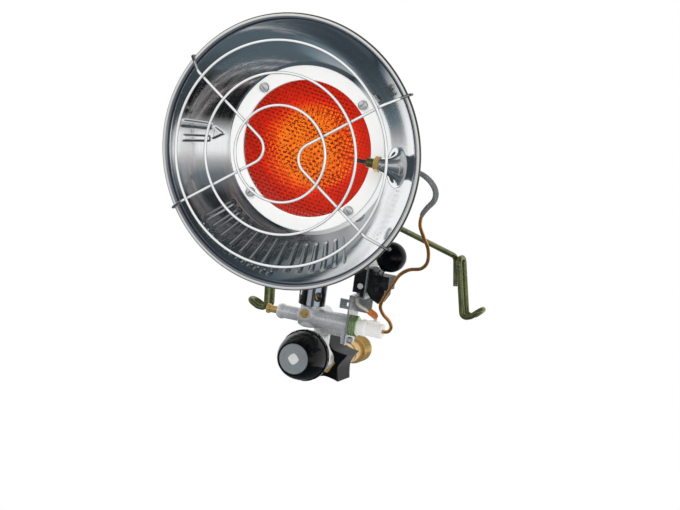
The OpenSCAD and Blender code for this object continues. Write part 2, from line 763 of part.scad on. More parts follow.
// Brass jet: threaded shank, hexagon on the tube's foot, and a cone with its hole
module orifice() color("peru") translate([0, tube_y, stem_top]) difference() {
    union() {
        translate([0, 0, -shank_len]) cylinder(d = orifice_d - 2 * slip, h = shank_len + tube_t);
        translate([0, 0, tube_t]) hex(jet_hex_w, jet_hex_h);
        translate([0, 0, tube_t + jet_hex_h])
            cylinder(d1 = jet_base_d, d2 = jet_tip_d, h = jet_cone_h, $fn = coarse);
    }
    translate([0, 0, -shank_len - over])
        cylinder(d = jet_feed_d, h = shank_len + over + jet_feed_end);
    cylinder(d = jet_hole_d, h = tube_t + jet_hex_h + jet_cone_h + over);
}

module valve_body() color("silver") difference() {
    union() {
        facing_right(-barrel_r, tube_y, barrel_h) cylinder(d = barrel_d, h = barrel_end + barrel_r);
        facing_left(0, tube_y, barrel_h) cylinder(d = boss_d, h = boss_end);
        facing_left(boss_band_at - boss_end, tube_y, barrel_h)
            cylinder(d = boss_d + 2 * boss_band_h, h = boss_band_len);
        translate([0, tube_y, barrel_h - barrel_r])
            cylinder(d = riser_d, h = stem_top - barrel_h + barrel_r);
        translate([0, tube_y, stem_top - riser_lip_t])
            cylinder(d = riser_d + 2 * riser_lip_w, h = riser_lip_t);
        facing_front(tube_y, barrel_h + plug_rise) cylinder(d = plug_boss_d, h = plug_out);
        facing_back(tube_y, barrel_h) translate([neck_x, 0, 0])
            cylinder(d = neck_d, h = neck_y - tube_y);
        translate([neck_x, neck_y, pad_h]) cylinder(d = neck_d, h = barrel_h - pad_h);
        translate([neck_x, neck_y, barrel_h]) sphere(d = neck_d);
        translate([neck_x, neck_y, pad_h]) cylinder(d = pad_d, h = pad_t);
        translate([barrel_end - lug_t, tube_y - lug_w / 2, barrel_h - lug_drop])
            cube([lug_t, lug_w, lug_drop]);
        translate([rib_x, tube_y - rib_t / 2, barrel_h - barrel_r - rib_drop])
            cube([barrel_end - rib_x - over, rib_t, barrel_r]);
    }
    facing_right(chamber_start, tube_y, barrel_h)
        cylinder(d = seat_hole_d, h = barrel_end - chamber_start);
    facing_right(seat_x, tube_y, barrel_h) cylinder(r = chamber_r, h = barrel_end - seat_x + over);
    facing_left(0, tube_y, barrel_h) cylinder(d = plunger_d + 2 * run, h = boss_end + over);
    translate([0, tube_y, barrel_h]) cylinder(d = riser_bore_d, h = stem_top - barrel_h);
    translate([0, tube_y, stem_top - shank_len - gap])
        cylinder(d = orifice_d, h = shank_len + gap + over);
    facing_front(tube_y - plug_out + plug_len, barrel_h + plug_rise)
        cylinder(d = plug_d, h = plug_len + over);
    translate([neck_x, neck_y, pad_h - over]) cylinder(d = port_d, h = barrel_h - pad_h + over);
    facing_back(tube_y, barrel_h) translate([seat_x + port_d / 2 + port_wall, 0, 0])
        cylinder(d = port_d, h = neck_y - tube_y);
    facing_right(barrel_end - lug_t - over, tube_y, plate_screw_h)
        cylinder(d = plate_screw_d, h = lug_t + 2 * over);
}
module front_plug() color("goldenrod")
    facing_front(tube_y - plug_out + plug_len, barrel_h + plug_rise) difference() {
        union() {
            cylinder(d = plug_d, h = plug_len);
            translate([0, 0, plug_len]) cylinder(d = plug_d + 2 * plug_head_w, h = plug_head_h);
        }
        translate([-plug_d, -plug_slot_w / 2, plug_len + plug_head_h - plug_slot_depth])
            cube([2 * plug_d, plug_slot_w, over]);
    }
module plunger_rod() color("goldenrod") facing_right(rod_tip_x, tube_y, barrel_h) difference() {
    union() {
        cylinder(d = plunger_d, h = disc_x - disc_neck_len - rod_tip_x);
        cylinder(d = disc_neck_d, h = disc_x + disc_t - rod_tip_x);
        cylinder(d = plunger_d + 2 * rod_cap_w, h = rod_cap_h);
    }
    translate([0, 0, -over]) cylinder(d = rod_dimple_d, h = 2 * over);
}
module valve_disc() color("dimgray") facing_right(disc_x, tube_y, barrel_h) difference() {
    cylinder(d = disc_d, h = disc_t);
    translate([0, 0, -over]) cylinder(d = disc_neck_d, h = disc_t + 2 * over);
}
// Return spring between the valve disc and the magnet unit
module plunger_spring() color("gray") facing_right(disc_x + disc_t + gap, tube_y, barrel_h)
    coil(return_spring_r, return_wire, magnet_start - disc_x - disc_t - 2 * gap, return_turns);
module magnet_unit() color("silver") facing_right(magnet_start, tube_y, barrel_h) {
    cylinder(d = magnet_d, h = plate_x + plate_t - magnet_start);
    cylinder(d = magnet_stub_d, h = block_x + magnet_stub_in - magnet_start);
}
module magnet_nut() color("yellowgreen") facing_right(magnet_nut_x, tube_y, barrel_h) difference() {
    hex(magnet_nut_w, magnet_nut_t);
    translate([0, 0, -over]) cylinder(d = magnet_stub_d, h = magnet_nut_t + 2 * over);
}
module interrupter_block() color("whitesmoke") facing_right(block_x, tube_y, barrel_h) difference() {
    union() {
        cylinder(d = block_d, h = block_len);
        translate([0, 0, block_band_at])
            cylinder(d = block_d + 2 * block_band_h, h = block_band_len);
        translate([-block_d / 2 - tab_out, -tab_w / 2, tab_at]) cube([tab_t, tab_w, tab_len]);
    }
    translate([0, 0, -over]) cylinder(d = magnet_stub_d + 2 * slip, h = magnet_stub_in + 2 * over);
    translate([0, 0, block_len - lead_in]) cylinder(d = lead_d + 2 * slip, h = lead_in + over);
}

// Bent plate: clamped under the nut, a step to the right, and up between the housings
module switch_plate() color("lightgray") difference() {
    union() {
        translate([plate_x, plate_front, plate_low])
            cube([plate_t, plate_w, shelf_h + plate_t - plate_low]);
        translate([plate_x, plate_front, shelf_h])
            cube([upper_x + plate_t - plate_x, plate_w, plate_t]);
        translate([upper_x, plate_front, shelf_h]) cube([plate_t, plate_w, plate_top - shelf_h]);
        translate([plate_x - wing_w, plate_back - plate_t, wing_low])
            cube([upper_x + plate_t - plate_x + wing_w, plate_t, wing_h]);
        translate([back_x, plate_back - plate_t, wing_low])
            cube([upper_x + plate_t - back_x, plate_t, back_top - wing_low]);
    }
    facing_right(plate_x - over, tube_y, barrel_h)
        cylinder(d = magnet_d + 2 * slip, h = plate_t + 2 * over);
    facing_right(plate_x - over, tube_y, plate_screw_h)
        cylinder(d = plate_screw_d + 2 * slip, h = plate_t + 2 * over);
    facing_right(upper_x - over, tube_y, cross_rivet_h) cylinder(d = rivet_d, h = plate_t + 2 * over);
    translate([wire_route[0][0], tube_y + wire_route[0][1], shelf_h - over])
        cylinder(d = wire_hole_d, h = plate_t + 2 * over);
    facing_back(plate_back - plate_t - over, rivet_h) translate([rivet_x, 0, 0])
        cylinder(d = rivet_d, h = plate_t + 2 * over);
    translate([wing_slot_x, plate_back - plate_t - over, wing_slot_z])
        cube([wing_slot_w, plate_t + 2 * over, wing_slot_h]);
}
module plate_screws() color("silver") facing_right(plate_x + plate_t, tube_y, plate_screw_h) {
    difference() {
        cylinder(d = plate_screw_head_d, h = plate_screw_head_h);
        translate([-plate_screw_head_d, -plate_screw_slot / 2, plate_screw_head_h - plate_screw_slot])
            cube([2 * plate_screw_head_d, plate_screw_slot, over]);
    }
    translate([0, 0, -plate_t - lug_t - plate_screw_tail])
        cylinder(d = plate_screw_d - 2 * run, h = plate_t + lug_t + plate_screw_tail);
}
module tip_switch() color("#202024") difference() {
    union() {
        translate([tip_box_x, box_front, tip_box_low])
            cube([tip_box_w, box_depth, tip_box_high - tip_box_low]);
        translate([tip_box_x + lid_margin, box_front - lid_h, tip_box_low + lid_margin])
            cube([tip_box_w - 2 * lid_margin, 2 * lid_h,
                tip_box_high - tip_box_low - 2 * lid_margin]);
    }
    facing_right(tip_box_x - over, tube_y, cross_rivet_h)
        cylinder(d = rivet_d, h = tip_box_w + 2 * over);
    facing_back(box_front - lid_h - over, rivet_h) translate([rivet_x, 0, 0])
        cylinder(d = rivet_d, h = box_depth + lid_h + 2 * over);
}
// Rivets: one through both housings and the plate, one through the tip-over switch
module switch_rivets() color("gainsboro") {
    facing_right(tip_box_x - rivet_head_h, tube_y, cross_rivet_h) {
        cylinder(d = rivet_head_d, h = rivet_head_h);
        cylinder(d = rivet_d - rivet_play, h = rivet_head_h + housing_x + cross_rivet_in - tip_box_x);
    }
    facing_back(box_front - lid_h - rivet_head_h, rivet_h) translate([rivet_x, 0, 0]) {
        cylinder(d = rivet_head_d, h = rivet_head_h);
        cylinder(d = rivet_d - rivet_play, h = plate_back - box_front + lid_h + rivet_head_h);
    }
}
module button_housing() color("#202024") difference() {
    translate([housing_x, box_front + box_depth - housing_margin, tip_box_low]) rotate([90, 0, 0])
        linear_extrude(box_depth - 2 * housing_margin) polygon(housing_outline);
    translate([ball_x, stem_y, ball_z]) push_frame()
        cylinder(d = stem_d + 2 * run, h = stem_in + button_travel + gap);
    facing_right(housing_x - over, tube_y, cross_rivet_h)
        cylinder(d = rivet_d, h = cross_rivet_in + slip + over);
}
// A frame whose Z points the way the button is pushed
module push_frame() rotate([0, atan2(push_x, push_z), 0]) children();
module button_stem() color("silver") translate([ball_x, stem_y, ball_z]) push_frame()
    translate([0, 0, stem_start]) cylinder(d = stem_d, h = stem_in - stem_start);
module button_ball() color("#18181c") translate([ball_x, stem_y, ball_z]) difference() {
    union() {
        sphere(d = ball_d);
        push_frame() translate([0, 0, ball_d / 2 - ball_foot_in])
            cylinder(d = stem_d + 2 * ball_foot_w, h = ball_foot_h);
    }
    push_frame() translate([0, 0, stem_start]) cylinder(d = stem_d, h = ball_d);
}
wire_points = shifted(smooth(wire_route, route_steps), [0, tube_y, barrel_h]);
wire_sleeve_bore = wire_gap / 2 + wire_d / 2 + slip;
module switch_wires() color("white") for (s = [-1, 1])
    sweep(beside(wire_points, s * wire_gap / 2), wire_d / 2);
module wire_sleeve() color("darkorange") difference() {
    sweep(part_of(wire_points, wire_sleeve_first, wire_sleeve_last), wire_sleeve_bore + wire_sleeve_t);
    sweep(part_of(wire_points, wire_sleeve_first - 1, wire_sleeve_last + 1), wire_sleeve_bore);
}

module thermocouple_probe() color("dimgray") {
    facing_right(probe_tip_x, probe_y, dish_h) cylinder(d = probe_d, h = probe_end_x - probe_tip_x);
    translate([probe_tip_x, probe_y, dish_h]) sphere(d = probe_d);
}
module thermocouple_collar() color("darkkhaki") facing_right(collar_x, probe_y, dish_h) difference() {
    cylinder(d = collar_d, h = collar_len);
    translate([0, 0, -over]) cylinder(d = probe_d, h = collar_len + 2 * over);
}
module thermocouple_nut() color("goldenrod") facing_right(collar_x + collar_len, probe_y, dish_h)
    difference() {
        hex(tc_nut_w, tc_nut_t);
        translate([0, 0, -over]) cylinder(d = probe_d, h = tc_nut_t + 2 * over);
    }
lead_points = smooth(concat(shifted(lead_upper, [rim_r, -dish_out, dish_h]),
    shifted(lead_lower, [0, tube_y, barrel_h])), route_steps);
sleeve_bore = lead_d / 2 / cos(180 / tube_sides) + run;
module lead_sleeve() color("gray") difference() {
    sweep(part_of(lead_points, route_steps, sleeve_last * route_steps), sleeve_d / 2);
    sweep(part_of(lead_points, route_steps - 1, sleeve_last * route_steps + 1), sleeve_bore);
}
module thermocouple_lead() color("peru") sweep(lead_points, lead_d / 2);

module regulator_body() color("silver") difference() {
    union() {
        facing_back(body_front, bonnet_h) cylinder(r = reg_r, h = body_t);
        facing_back(body_front + body_t - over, inlet_boss_h)
            cylinder(d = inlet_boss_d, h = body_back - body_front - body_t + over);
        translate([neck_x, neck_y, inlet_boss_h]) cylinder(d = neck_d, h = pad_h - inlet_boss_h);
        translate([neck_x, neck_y, pad_h - pad_t]) cylinder(d = pad_d, h = pad_t);
        translate([neck_x - web_w / 2, body_front + body_t - over, inlet_boss_h])
            cube([web_w, neck_y - body_front - body_t + over, web_h - inlet_boss_h]);
    }
    facing_back(body_front - over, bonnet_h) cylinder(r = cavity_r, h = cavity_depth + over);
    facing_front(body_back + over, 0) cylinder(d = spigot_d, h = inlet_bore_depth + over);
    facing_back(cavity_back - over, 0)
        cylinder(d = inlet_hole_d, h = inlet_bore_end - cavity_back + 2 * over);
    translate([neck_x, neck_y, pad_h - port_depth]) cylinder(d = port_d, h = port_depth + over);
    facing_back(cavity_back - over, link_h) translate([neck_x, 0, 0])
        cylinder(d = link_d, h = neck_y - cavity_back + over);
}
module regulator_diaphragm() color("dimgray") facing_back(diaphragm_y, bonnet_h)
    cylinder(r = cavity_r - slip, h = diaphragm_t);
module regulator_spring() color("gray") facing_front(diaphragm_y, bonnet_h)
    coil(spring_r, spring_wire, diaphragm_y - stem_front - bonnet_cap - gap, spring_turns);
module regulator_bonnet() color("silver") facing_front(body_front, bonnet_h) difference() {
    union() {
        cylinder(r = reg_r, h = bonnet_t);
        cylinder(r = bonnet_stem_r, h = bonnet_t + bonnet_stem_len);
    }
    translate([0, 0, -over])
        cylinder(r = bonnet_stem_r - bonnet_wall, h = bonnet_t + bonnet_stem_len - bonnet_cap + over);
}
// Section of the knob: a bell in front of a grooved band, hollow behind
module knob_section() difference() {
    polygon(concat([[0, 0], [knob_r - knob_edge, 0], [knob_r, knob_edge],
        [knob_r, skirt_h - knob_edge], [knob_r - knob_edge, skirt_h], [groove_r, skirt_h],
        [groove_r, skirt_h + groove_w]],
        [for (i = [0:bell_steps]) let (a = bell_first + (bell_last - bell_first) * i / bell_steps)
            [bell_r * cos(a), bell_c * sin(a)]],
        [[label_d / 2, knob_len], [label_d / 2, knob_len - label_t], [0, knob_len - label_t]]));
    translate([0, -over]) square([knob_bore_r, knob_bore_h + over]);
}
module regulator_knob() color("#141416") facing_front(knob_back, bonnet_h) difference() {
    union() {
        rotate_extrude() knob_section();
        translate([0, 0, knob_hub_start])
            cylinder(r = knob_hub_r, h = knob_len - knob_hub_start - knob_face_t);
    }
    translate([0, 0, -over])
        cylinder(r = bonnet_stem_r + run, h = knob_back - stem_front + gap + over);
    translate([0, 0, knob_len - label_t]) cylinder(d = label_d, h = label_t + over);
    for (i = [0:flute_count - 1]) rotate(360 * i / flute_count)
        translate([knob_r + flute_out, 0, knob_edge]) cylinder(r = flute_r, h = flute_len);
}
module knob_label() color("gray") facing_front(knob_back, bonnet_h)
    translate([0, 0, knob_len - label_t]) difference() {
        cylinder(d = label_d, h = label_t);
        translate([0, 0, label_t - mark_depth]) cylinder(d = mark_d, h = over);
    }

// Seal's groove, or the seal itself when the wire is thinner
module nose_ring(wire) facing_back(nose_start + nose_band / 2, 0) rotate_extrude()
    translate([nose_r + weld, 0]) circle(wire);
module inlet_nipple() color("goldenrod") difference() {
    union() {
        facing_back(body_back, 0) hex(hex_w, hex_start - body_back);
        facing_back(body_back - spigot_in, 0) cylinder(d = spigot_d, h = spigot_in + over);
        facing_back(hex_start - hex_lap, 0)
            cylinder(r = nipple_r, h = nose_start - hex_start + hex_lap);
        facing_back(nose_start, 0) cylinder(r = nose_r, h = nose_band);
        facing_back(nose_start + nose_band, 0)
            cylinder(r1 = nose_r, r2 = nose_tip_r, h = nose_cone, $fn = 48);
    }
    facing_back(body_back - spigot_in - over, 0)
        cylinder(d = nipple_bore_d, h = nipple_bore_len);
    nose_ring(seal_wire_r + run);
}
module nose_seal() color("#303030") nose_ring(seal_wire_r);
module inlet_nut() color("goldenrod") difference() {
    union() {
        facing_back(-thread_len / 2, 0) cylinder(r = thread_r, h = thread_len);
        facing_back(nut_front, 0) cylinder(r = nut_stem_r, h = thread_len / 2 - nut_front);
    }
    facing_back(nut_front - over, 0)
        cylinder(r = nipple_r + run, h = thread_len / 2 - nut_front + 2 * over);
}
// Handwheel with pointed lobes, one step lower at each end, pressed onto the nut
module handwheel() color("#1a1a1c") difference() {
    facing_back(wheel_front, 0) {
        translate([0, 0, wheel_edge]) linear_extrude(wheel_len - 2 * wheel_edge)
            wheel_outline(wheel_r);
        linear_extrude(wheel_len) wheel_outline(wheel_r - wheel_step);
    }
    facing_back(nut_front, 0) cylinder(r = nut_stem_r, h = wheel_back - nut_front + over);
    facing_back(wheel_front - over, 0) cylinder(r = nipple_r + 1, h = 3 * over + nut_front - wheel_front);
}
module wheel_outline(r) rotate(lobe_turn) difference() {
    circle(r, $fn = lobe_count);
    for (i = [0:lobe_count - 1]) rotate(360 * (i + 0.5) / lobe_count)
        translate([r * cos(180 / lobe_count) + notch_r - notch_depth, 0]) circle(notch_r);
}

// Band round the mixer tube, with ears in front and the pivot behind
module tube_clamp() color("silver") translate([0, tube_y, pivot_h]) difference() {
    union() {
        translate([0, 0, -clamp_h / 2]) cylinder(r = tube_r + clamp_t, h = clamp_h);
        translate([-clamp_block_w / 2, 0, -clamp_h / 2])
            cube([clamp_block_w, pivot_y - tube_y, clamp_h]);
        translate([-ear_w / 2, -tube_r - ear_out, -clamp_h / 2]) cube([ear_w, ear_out + over, clamp_h]);
        rotate([-90, 0, 0])
            cylinder(d = pivot_d, h = pivot_y - tube_y + hub_len + 2 * gap + pivot_tail);
    }
    translate([0, 0, -clamp_h]) cylinder(r = tube_r, h = 2 * clamp_h);
    translate([-ear_slit / 2, -tube_r - ear_out - over, -clamp_h])
        cube([ear_slit, ear_out + 2 * over, 2 * clamp_h]);
    translate([-ear_w / 2 - over, ear_hole_in - tube_r - ear_out, 0]) rotate([0, 90, 0])
        cylinder(d = ear_hole_d, h = ear_w + 2 * over);
}
module clamp_screw() color("silver")
    facing_right(-ear_w / 2 - clamp_head_h, tube_y - tube_r - ear_out + ear_hole_in, pivot_h) {
        cylinder(d = clamp_head_d, h = clamp_head_h);
        cylinder(d = clamp_screw_d, h = clamp_head_h + ear_w + clamp_nut_t + clamp_screw_tail);
        translate([0, 0, clamp_head_h + ear_w]) difference() {
            hex(clamp_nut_w, clamp_nut_t);
            translate([0, 0, -over]) cylinder(d = clamp_screw_d, h = clamp_nut_t + 2 * over);
        }
    }
module bracket_hub() color("darkkhaki") facing_back(hub_y, pivot_h) difference() {
    cylinder(r = hub_r, h = hub_len);
    translate([0, 0, -over]) cylinder(r = pivot_d / 2 + run, h = hub_len + 2 * over);
}
module hub_clip() color("silver") facing_back(hub_y + hub_len + gap, pivot_h) difference() {
    cylinder(d = pivot_d + 2 * clip_w, h = clip_t);
    translate([0, 0, -over]) cylinder(d = pivot_d, h = clip_t + 2 * over);
}
// One arm from the hub to the grip, and down inside the collar; s is 1 on the right
module bracket_arm(s) {
    grip = leaning(s * grip_out, collar_back, grip_h);
    foot = leaning(s * grip_out, collar_back, grip_h - tang_len);
    out = unit([grip[0], 0, grip[2] - hub_mid[2]]);
    sweep(rounded([hub_mid + hub_r * out, hub_mid + (hub_r + arm_start) * out, grip, foot],
        [arm_start_bend, arm_bend]), rod_r, rod_sides);
}
module bracket_arm_right() color("darkkhaki") bracket_arm(1);
module bracket_arm_left() color("darkkhaki") bracket_arm(-1);
// A wire bent into a doubled hook, whose ends meet where it is welded to the arm
hook_shape = [[0, hook_join, 0], [0, leg_gap / 2, 0], [leg_slope, leg_gap / 2, -leg_len],
              [leg_slope + hook_out / 2, leg_gap / 2, hook_sag - leg_len],
              [leg_slope + hook_out, leg_gap / 2, hook_rise - leg_len]];
function hook_side(s, d) = [for (p = hook_shape) leaning(
    s * (grip_out + 2 * rod_r - weld + p[0]), collar_back + d * p[1], hook_top + p[2])];
module collar_hook(s) sweep(rounded(concat(hook_side(s, 1), reversed(hook_side(s, -1))),
    [hook_shoulder, hook_shoulder, hook_knee, hook_bend, hook_bend, hook_knee, hook_shoulder,
     hook_shoulder]), rod_r, rod_sides);
module collar_hook_right() color("olivedrab") collar_hook(1);
module collar_hook_left() color("olivedrab") collar_hook(-1);

reflector();
guard_ring_outer();
guard_ring_middle();
guard_ring_inner();
guard_spoke_left();
guard_spoke_right();
retaining_ring();
burner_screen();
radiant_dome();
burner_gasket();
burner_cup();
ring_screws();
ring_nuts();
burner_elbow();
mixer_tube();
orifice();
valve_body();
front_plug();
plunger_rod();
plunger_spring();
valve_disc();
magnet_unit();
magnet_nut();
interrupter_block();
switch_plate();
plate_screws();
tip_switch();
switch_rivets();
switch_wires();
wire_sleeve();
button_housing();
button_stem();
button_ball();
thermocouple_probe();
thermocouple_collar();
thermocouple_nut();
lead_sleeve();
thermocouple_lead();
regulator_body();
regulator_diaphragm();
regulator_spring();
regulator_bonnet();
regulator_knob();
knob_label();
inlet_nipple();
nose_seal();
inlet_nut();
handwheel();
tube_clamp();
clamp_screw();
bracket_hub();
bracket_arm_right();
bracket_arm_left();
collar_hook_right();
collar_hook_left();
hub_clip();
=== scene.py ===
"""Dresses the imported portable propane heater: surfaces, finishes, floor, light and camera."""

import json
import math
from itertools import accumulate

import bmesh
import bpy
import numpy as np
from mathutils import Matrix, Vector

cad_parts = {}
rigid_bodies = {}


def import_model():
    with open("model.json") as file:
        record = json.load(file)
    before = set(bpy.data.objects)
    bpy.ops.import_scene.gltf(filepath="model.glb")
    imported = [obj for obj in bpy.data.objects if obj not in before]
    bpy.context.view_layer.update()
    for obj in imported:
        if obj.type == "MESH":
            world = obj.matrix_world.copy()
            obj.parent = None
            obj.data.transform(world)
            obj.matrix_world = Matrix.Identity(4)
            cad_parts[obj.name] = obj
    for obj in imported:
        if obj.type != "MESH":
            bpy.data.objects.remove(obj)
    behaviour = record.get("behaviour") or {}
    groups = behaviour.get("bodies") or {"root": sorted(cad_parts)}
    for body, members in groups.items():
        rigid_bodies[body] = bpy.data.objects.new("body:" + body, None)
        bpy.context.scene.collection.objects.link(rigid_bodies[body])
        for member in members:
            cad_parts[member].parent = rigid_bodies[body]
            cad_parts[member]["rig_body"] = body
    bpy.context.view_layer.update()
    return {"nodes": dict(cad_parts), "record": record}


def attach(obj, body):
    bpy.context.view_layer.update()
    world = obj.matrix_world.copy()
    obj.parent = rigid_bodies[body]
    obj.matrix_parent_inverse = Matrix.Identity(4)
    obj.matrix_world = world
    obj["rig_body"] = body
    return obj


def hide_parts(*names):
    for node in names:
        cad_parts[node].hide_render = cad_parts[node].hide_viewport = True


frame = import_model()

bl_info = {
    "name": "Portable propane heater",
    "version": (1, 0, 0),
    "blender": (4, 5, 0),
    "location": "3D View > Sidebar > Heater",
    "description": "Builds the surfaces and finishes of a portable propane heater over its CAD frame",
    "category": "Add Mesh",
}

MM = 0.001
TAU = 2 * math.pi
LEAN = math.radians(8.4)

# Where the parts of the heater stand, in millimetres, as in the part's source
DISH_OUT, DISH_H = 216.0, 186.0
TUBE_Y, BARREL_H = -122.0, 43.5
BOWL_C, BOWL_R, SHEET = 64.25, 121.4, 0.8
SEAT_Z = -38.0
PROBE_Y = -193.0


# ---------------------------------------------------------------- sizes and colours
def length(name, text, value):
    """A size that the user can change, held in metres."""
    return bpy.props.FloatProperty(
        name=name, description=text, default=value * MM, min=0.0, subtype="DISTANCE", unit="LENGTH", precision=5
    )


def colour(name, text, value):
    """A colour that the user can change."""
    return bpy.props.FloatVectorProperty(
        name=name, description=text, default=value, min=0.0, max=1.0, size=3, subtype="COLOR"
    )


class HeaterSizes(bpy.types.PropertyGroup):
    """Sizes of the surfaces that are made here"""

    guard_wire: length("Guard wire", "Diameter of the guard's wire", 2.3)
    screen_wire: length("Screen wire", "Diameter of the wire that the screen is woven from", 0.82)
    screen_pitch: length("Screen pitch", "Distance between neighbouring wires of the screen", 2.7)
    screen_rise: length("Screen rise", "Height that the screen bulges", 5.6)
    boss_foot: length("Boss foot", "Radius of the pressed boss where it leaves the bowl", 16.5)
    rib_height: length("Rib height", "Height of the ribs pressed into the bowl", 0.7)
    cast_voxel: length("Casting detail", "Grid on which the castings are rounded", 0.6)
    floor_drop: length("Floor depth", "Distance of the floor below the inlet's axis", 118.0)


class HeaterColours(bpy.types.PropertyGroup):
    """Colours of the finishes"""

    bowl: colour("Bowl", "Polished aluminised sheet", (0.90, 0.92, 0.93))
    wire: colour("Guard wire", "Bright plated wire", (0.96, 0.97, 0.97))
    enamel: colour("Ring", "White enamel", (0.98, 0.98, 0.97))
    glow_red: colour("Screen glow", "Red-hot wire", (0.76, 0.022, 0.006))
    glow_orange: colour("Emitter glow", "Orange-hot sheet", (1.0, 0.22, 0.012))
    chrome: colour("Chrome", "Bright chrome", (0.80, 0.82, 0.85))
    casting: colour("Casting", "Die-cast zinc", (0.88, 0.89, 0.90))
    brass: colour("Brass", "Turned brass", (0.84, 0.55, 0.19))
    olive: colour("Bracket", "Olive chromate", (0.23, 0.22, 0.085))
    black: colour("Black", "Black plastic", (0.008, 0.008, 0.010))
    copper: colour("Lead", "Copper capillary", (0.80, 0.40, 0.12))


# ---------------------------------------------------------------- placing and meshing
SAME_POINT, SAME_CAD_POINT = 1e-6, 2e-6
FLAT_LIMIT, EDGE_LIMIT, EDGE_STEPS = math.radians(0.6), math.radians(34), 3
NEARLY_STRAIGHT, CORNER_SHARE, LONG_FLAT, FLAT_GUARD = 1.56, 0.45, 0.5, 0.04
END_STEPS = (1.0, 0.72, 0.4)


def dish(points):
    """Points given across, up and forward of the middle of the rim, as points of the heater."""
    p = np.asarray(points, float)
    return np.stack([p[..., 0], -DISH_OUT - p[..., 2], DISH_H + p[..., 1]], -1)


def along(axis, origin):
    """A placing function: local Z runs along the axis from the origin, local X and Y square to it."""
    w = np.asarray(axis, float) / np.linalg.norm(axis)
    side = np.array([0.0, 0.0, 1.0]) if abs(w[2]) < 0.9 else np.array([0.0, 1.0, 0.0])
    u = np.cross(side, w)
    u /= np.linalg.norm(u)
    return lambda p: np.asarray(p, float) @ np.stack([u, np.cross(w, u), w]) + np.asarray(origin, float)


def leaning(points):
    """Points of the upright collar, given in the frame of the heater that leans in it."""
    p = np.asarray(points, float)
    c, s = math.cos(LEAN), math.sin(LEAN)
    return np.stack([p[..., 0] * c - p[..., 2] * s, p[..., 1], p[..., 0] * s + p[..., 2] * c], -1)


def unit(v):
    """Vectors of length one, along those given."""
    return v / np.linalg.norm(v, axis=-1, keepdims=True)


def sheet_faces(rows, cols, close_rows=False):
    """Quads between neighbouring rows and columns of a grid whose columns, and rows if asked, close."""
    i = np.arange(rows if close_rows else rows - 1)[:, None]
    j = np.arange(cols)[None, :]
    a, b = i % rows, (i + 1) % rows
    c, d = j, (j + 1) % cols
    quads = np.stack(np.broadcast_arrays(a * cols + c, a * cols + d, b * cols + d, b * cols + c), -1)
    return quads.reshape(-1, 4)


def new_piece(name, shape, finish, body, nodes=(), sharp=40.0):
    """One object from a shape, riding on its body. A shape is an array of points in millimetres, the faces
    and, where a pattern follows the surface, a UV map."""
    points, faces, *uv = shape
    mesh = bpy.data.meshes.new(name)
    points = np.asarray(points, float).reshape(-1, 3) * MM
    mesh.from_pydata(points, [], [f.tolist() for f in faces] if isinstance(faces, list) else faces)
    if uv:
        loops = np.empty(len(mesh.loops), np.int32)
        mesh.loops.foreach_get("vertex_index", loops)
        mesh.uv_layers.new(name="UVMap").data.foreach_set("uv", uv[0][loops].astype(np.float32).ravel())
    tidy = bmesh.new()
    tidy.from_mesh(mesh)
    bmesh.ops.remove_doubles(tidy, verts=tidy.verts, dist=SAME_POINT)
    bmesh.ops.recalc_face_normals(tidy, faces=tidy.faces)
    tidy.to_mesh(mesh)
    tidy.free()
    return settle(name, mesh, finish, body, nodes, sharp)


def settle(name, mesh, finish, body, nodes, sharp):
    """Shades a mesh, gives it its finish and puts it on its body in place of CAD nodes."""
    mesh.shade_smooth()
    mesh.set_sharp_from_angle(angle=math.radians(sharp))
    mesh.materials.clear()
    mesh.materials.append(FINISHES[finish])
    piece = bpy.data.objects.new(name, mesh)
    bpy.context.scene.collection.objects.link(piece)
    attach(piece, body)
    if nodes:
        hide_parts(*nodes)
    return piece


# ---------------------------------------------------------------- lines and profiles
def corner_path(points, radii, steps):
    """Straight runs between the points, with each inner corner replaced by an arc of its radius."""
    p = [np.asarray(q, float) for q in points]
    out = [p[0]]
    for a, b, c, r in zip(p, p[1:], p[2:], radii):
        u, v = unit(a - b), unit(c - b)
        half = math.acos(max(-1.0, min(1.0, float(u @ v)))) / 2
        if r <= 0 or half > NEARLY_STRAIGHT:
            out.append(b)
            continue
        mid = b + unit(u + v) * r / math.sin(half)
        s, e = b + u * r / math.tan(half) - mid, b + v * r / math.tan(half) - mid
        s, e = s / r, e / r
        turn = math.pi - 2 * half
        w = unit(e - (e @ s) * s)
        k = np.linspace(0, turn, steps + 1)[:, None]
        out.extend(mid + r * (np.cos(k) * s + np.sin(k) * w))
    out.append(p[-1])
    return np.array(out)


def soft_profile(points, radius, steps=4):
    """A profile of radius and height with each corner rounded, and a close extra point beside each arc
    so that the flats between the arcs shade flat."""
    p = np.array([[q[0], 0.0, q[1]] for q in points], float)
    gaps = np.linalg.norm(np.diff(p, axis=0), axis=1)
    radii = [min(q[2] if len(q) > 2 else radius, CORNER_SHARE * a, CORNER_SHARE * b)
             for q, a, b in zip(points[1:-1], gaps, gaps[1:])]
    path = corner_path(p, radii, steps)
    gap = np.linalg.norm(np.diff(path, axis=0), axis=1)
    out = [path[0]]
    for a, b, g in zip(path, path[1:], gap):
        if g > LONG_FLAT:
            out.extend([a + (b - a) * FLAT_GUARD / g, b - (b - a) * FLAT_GUARD / g])
        out.append(b)
    return np.array(out)[:, [0, 2]]


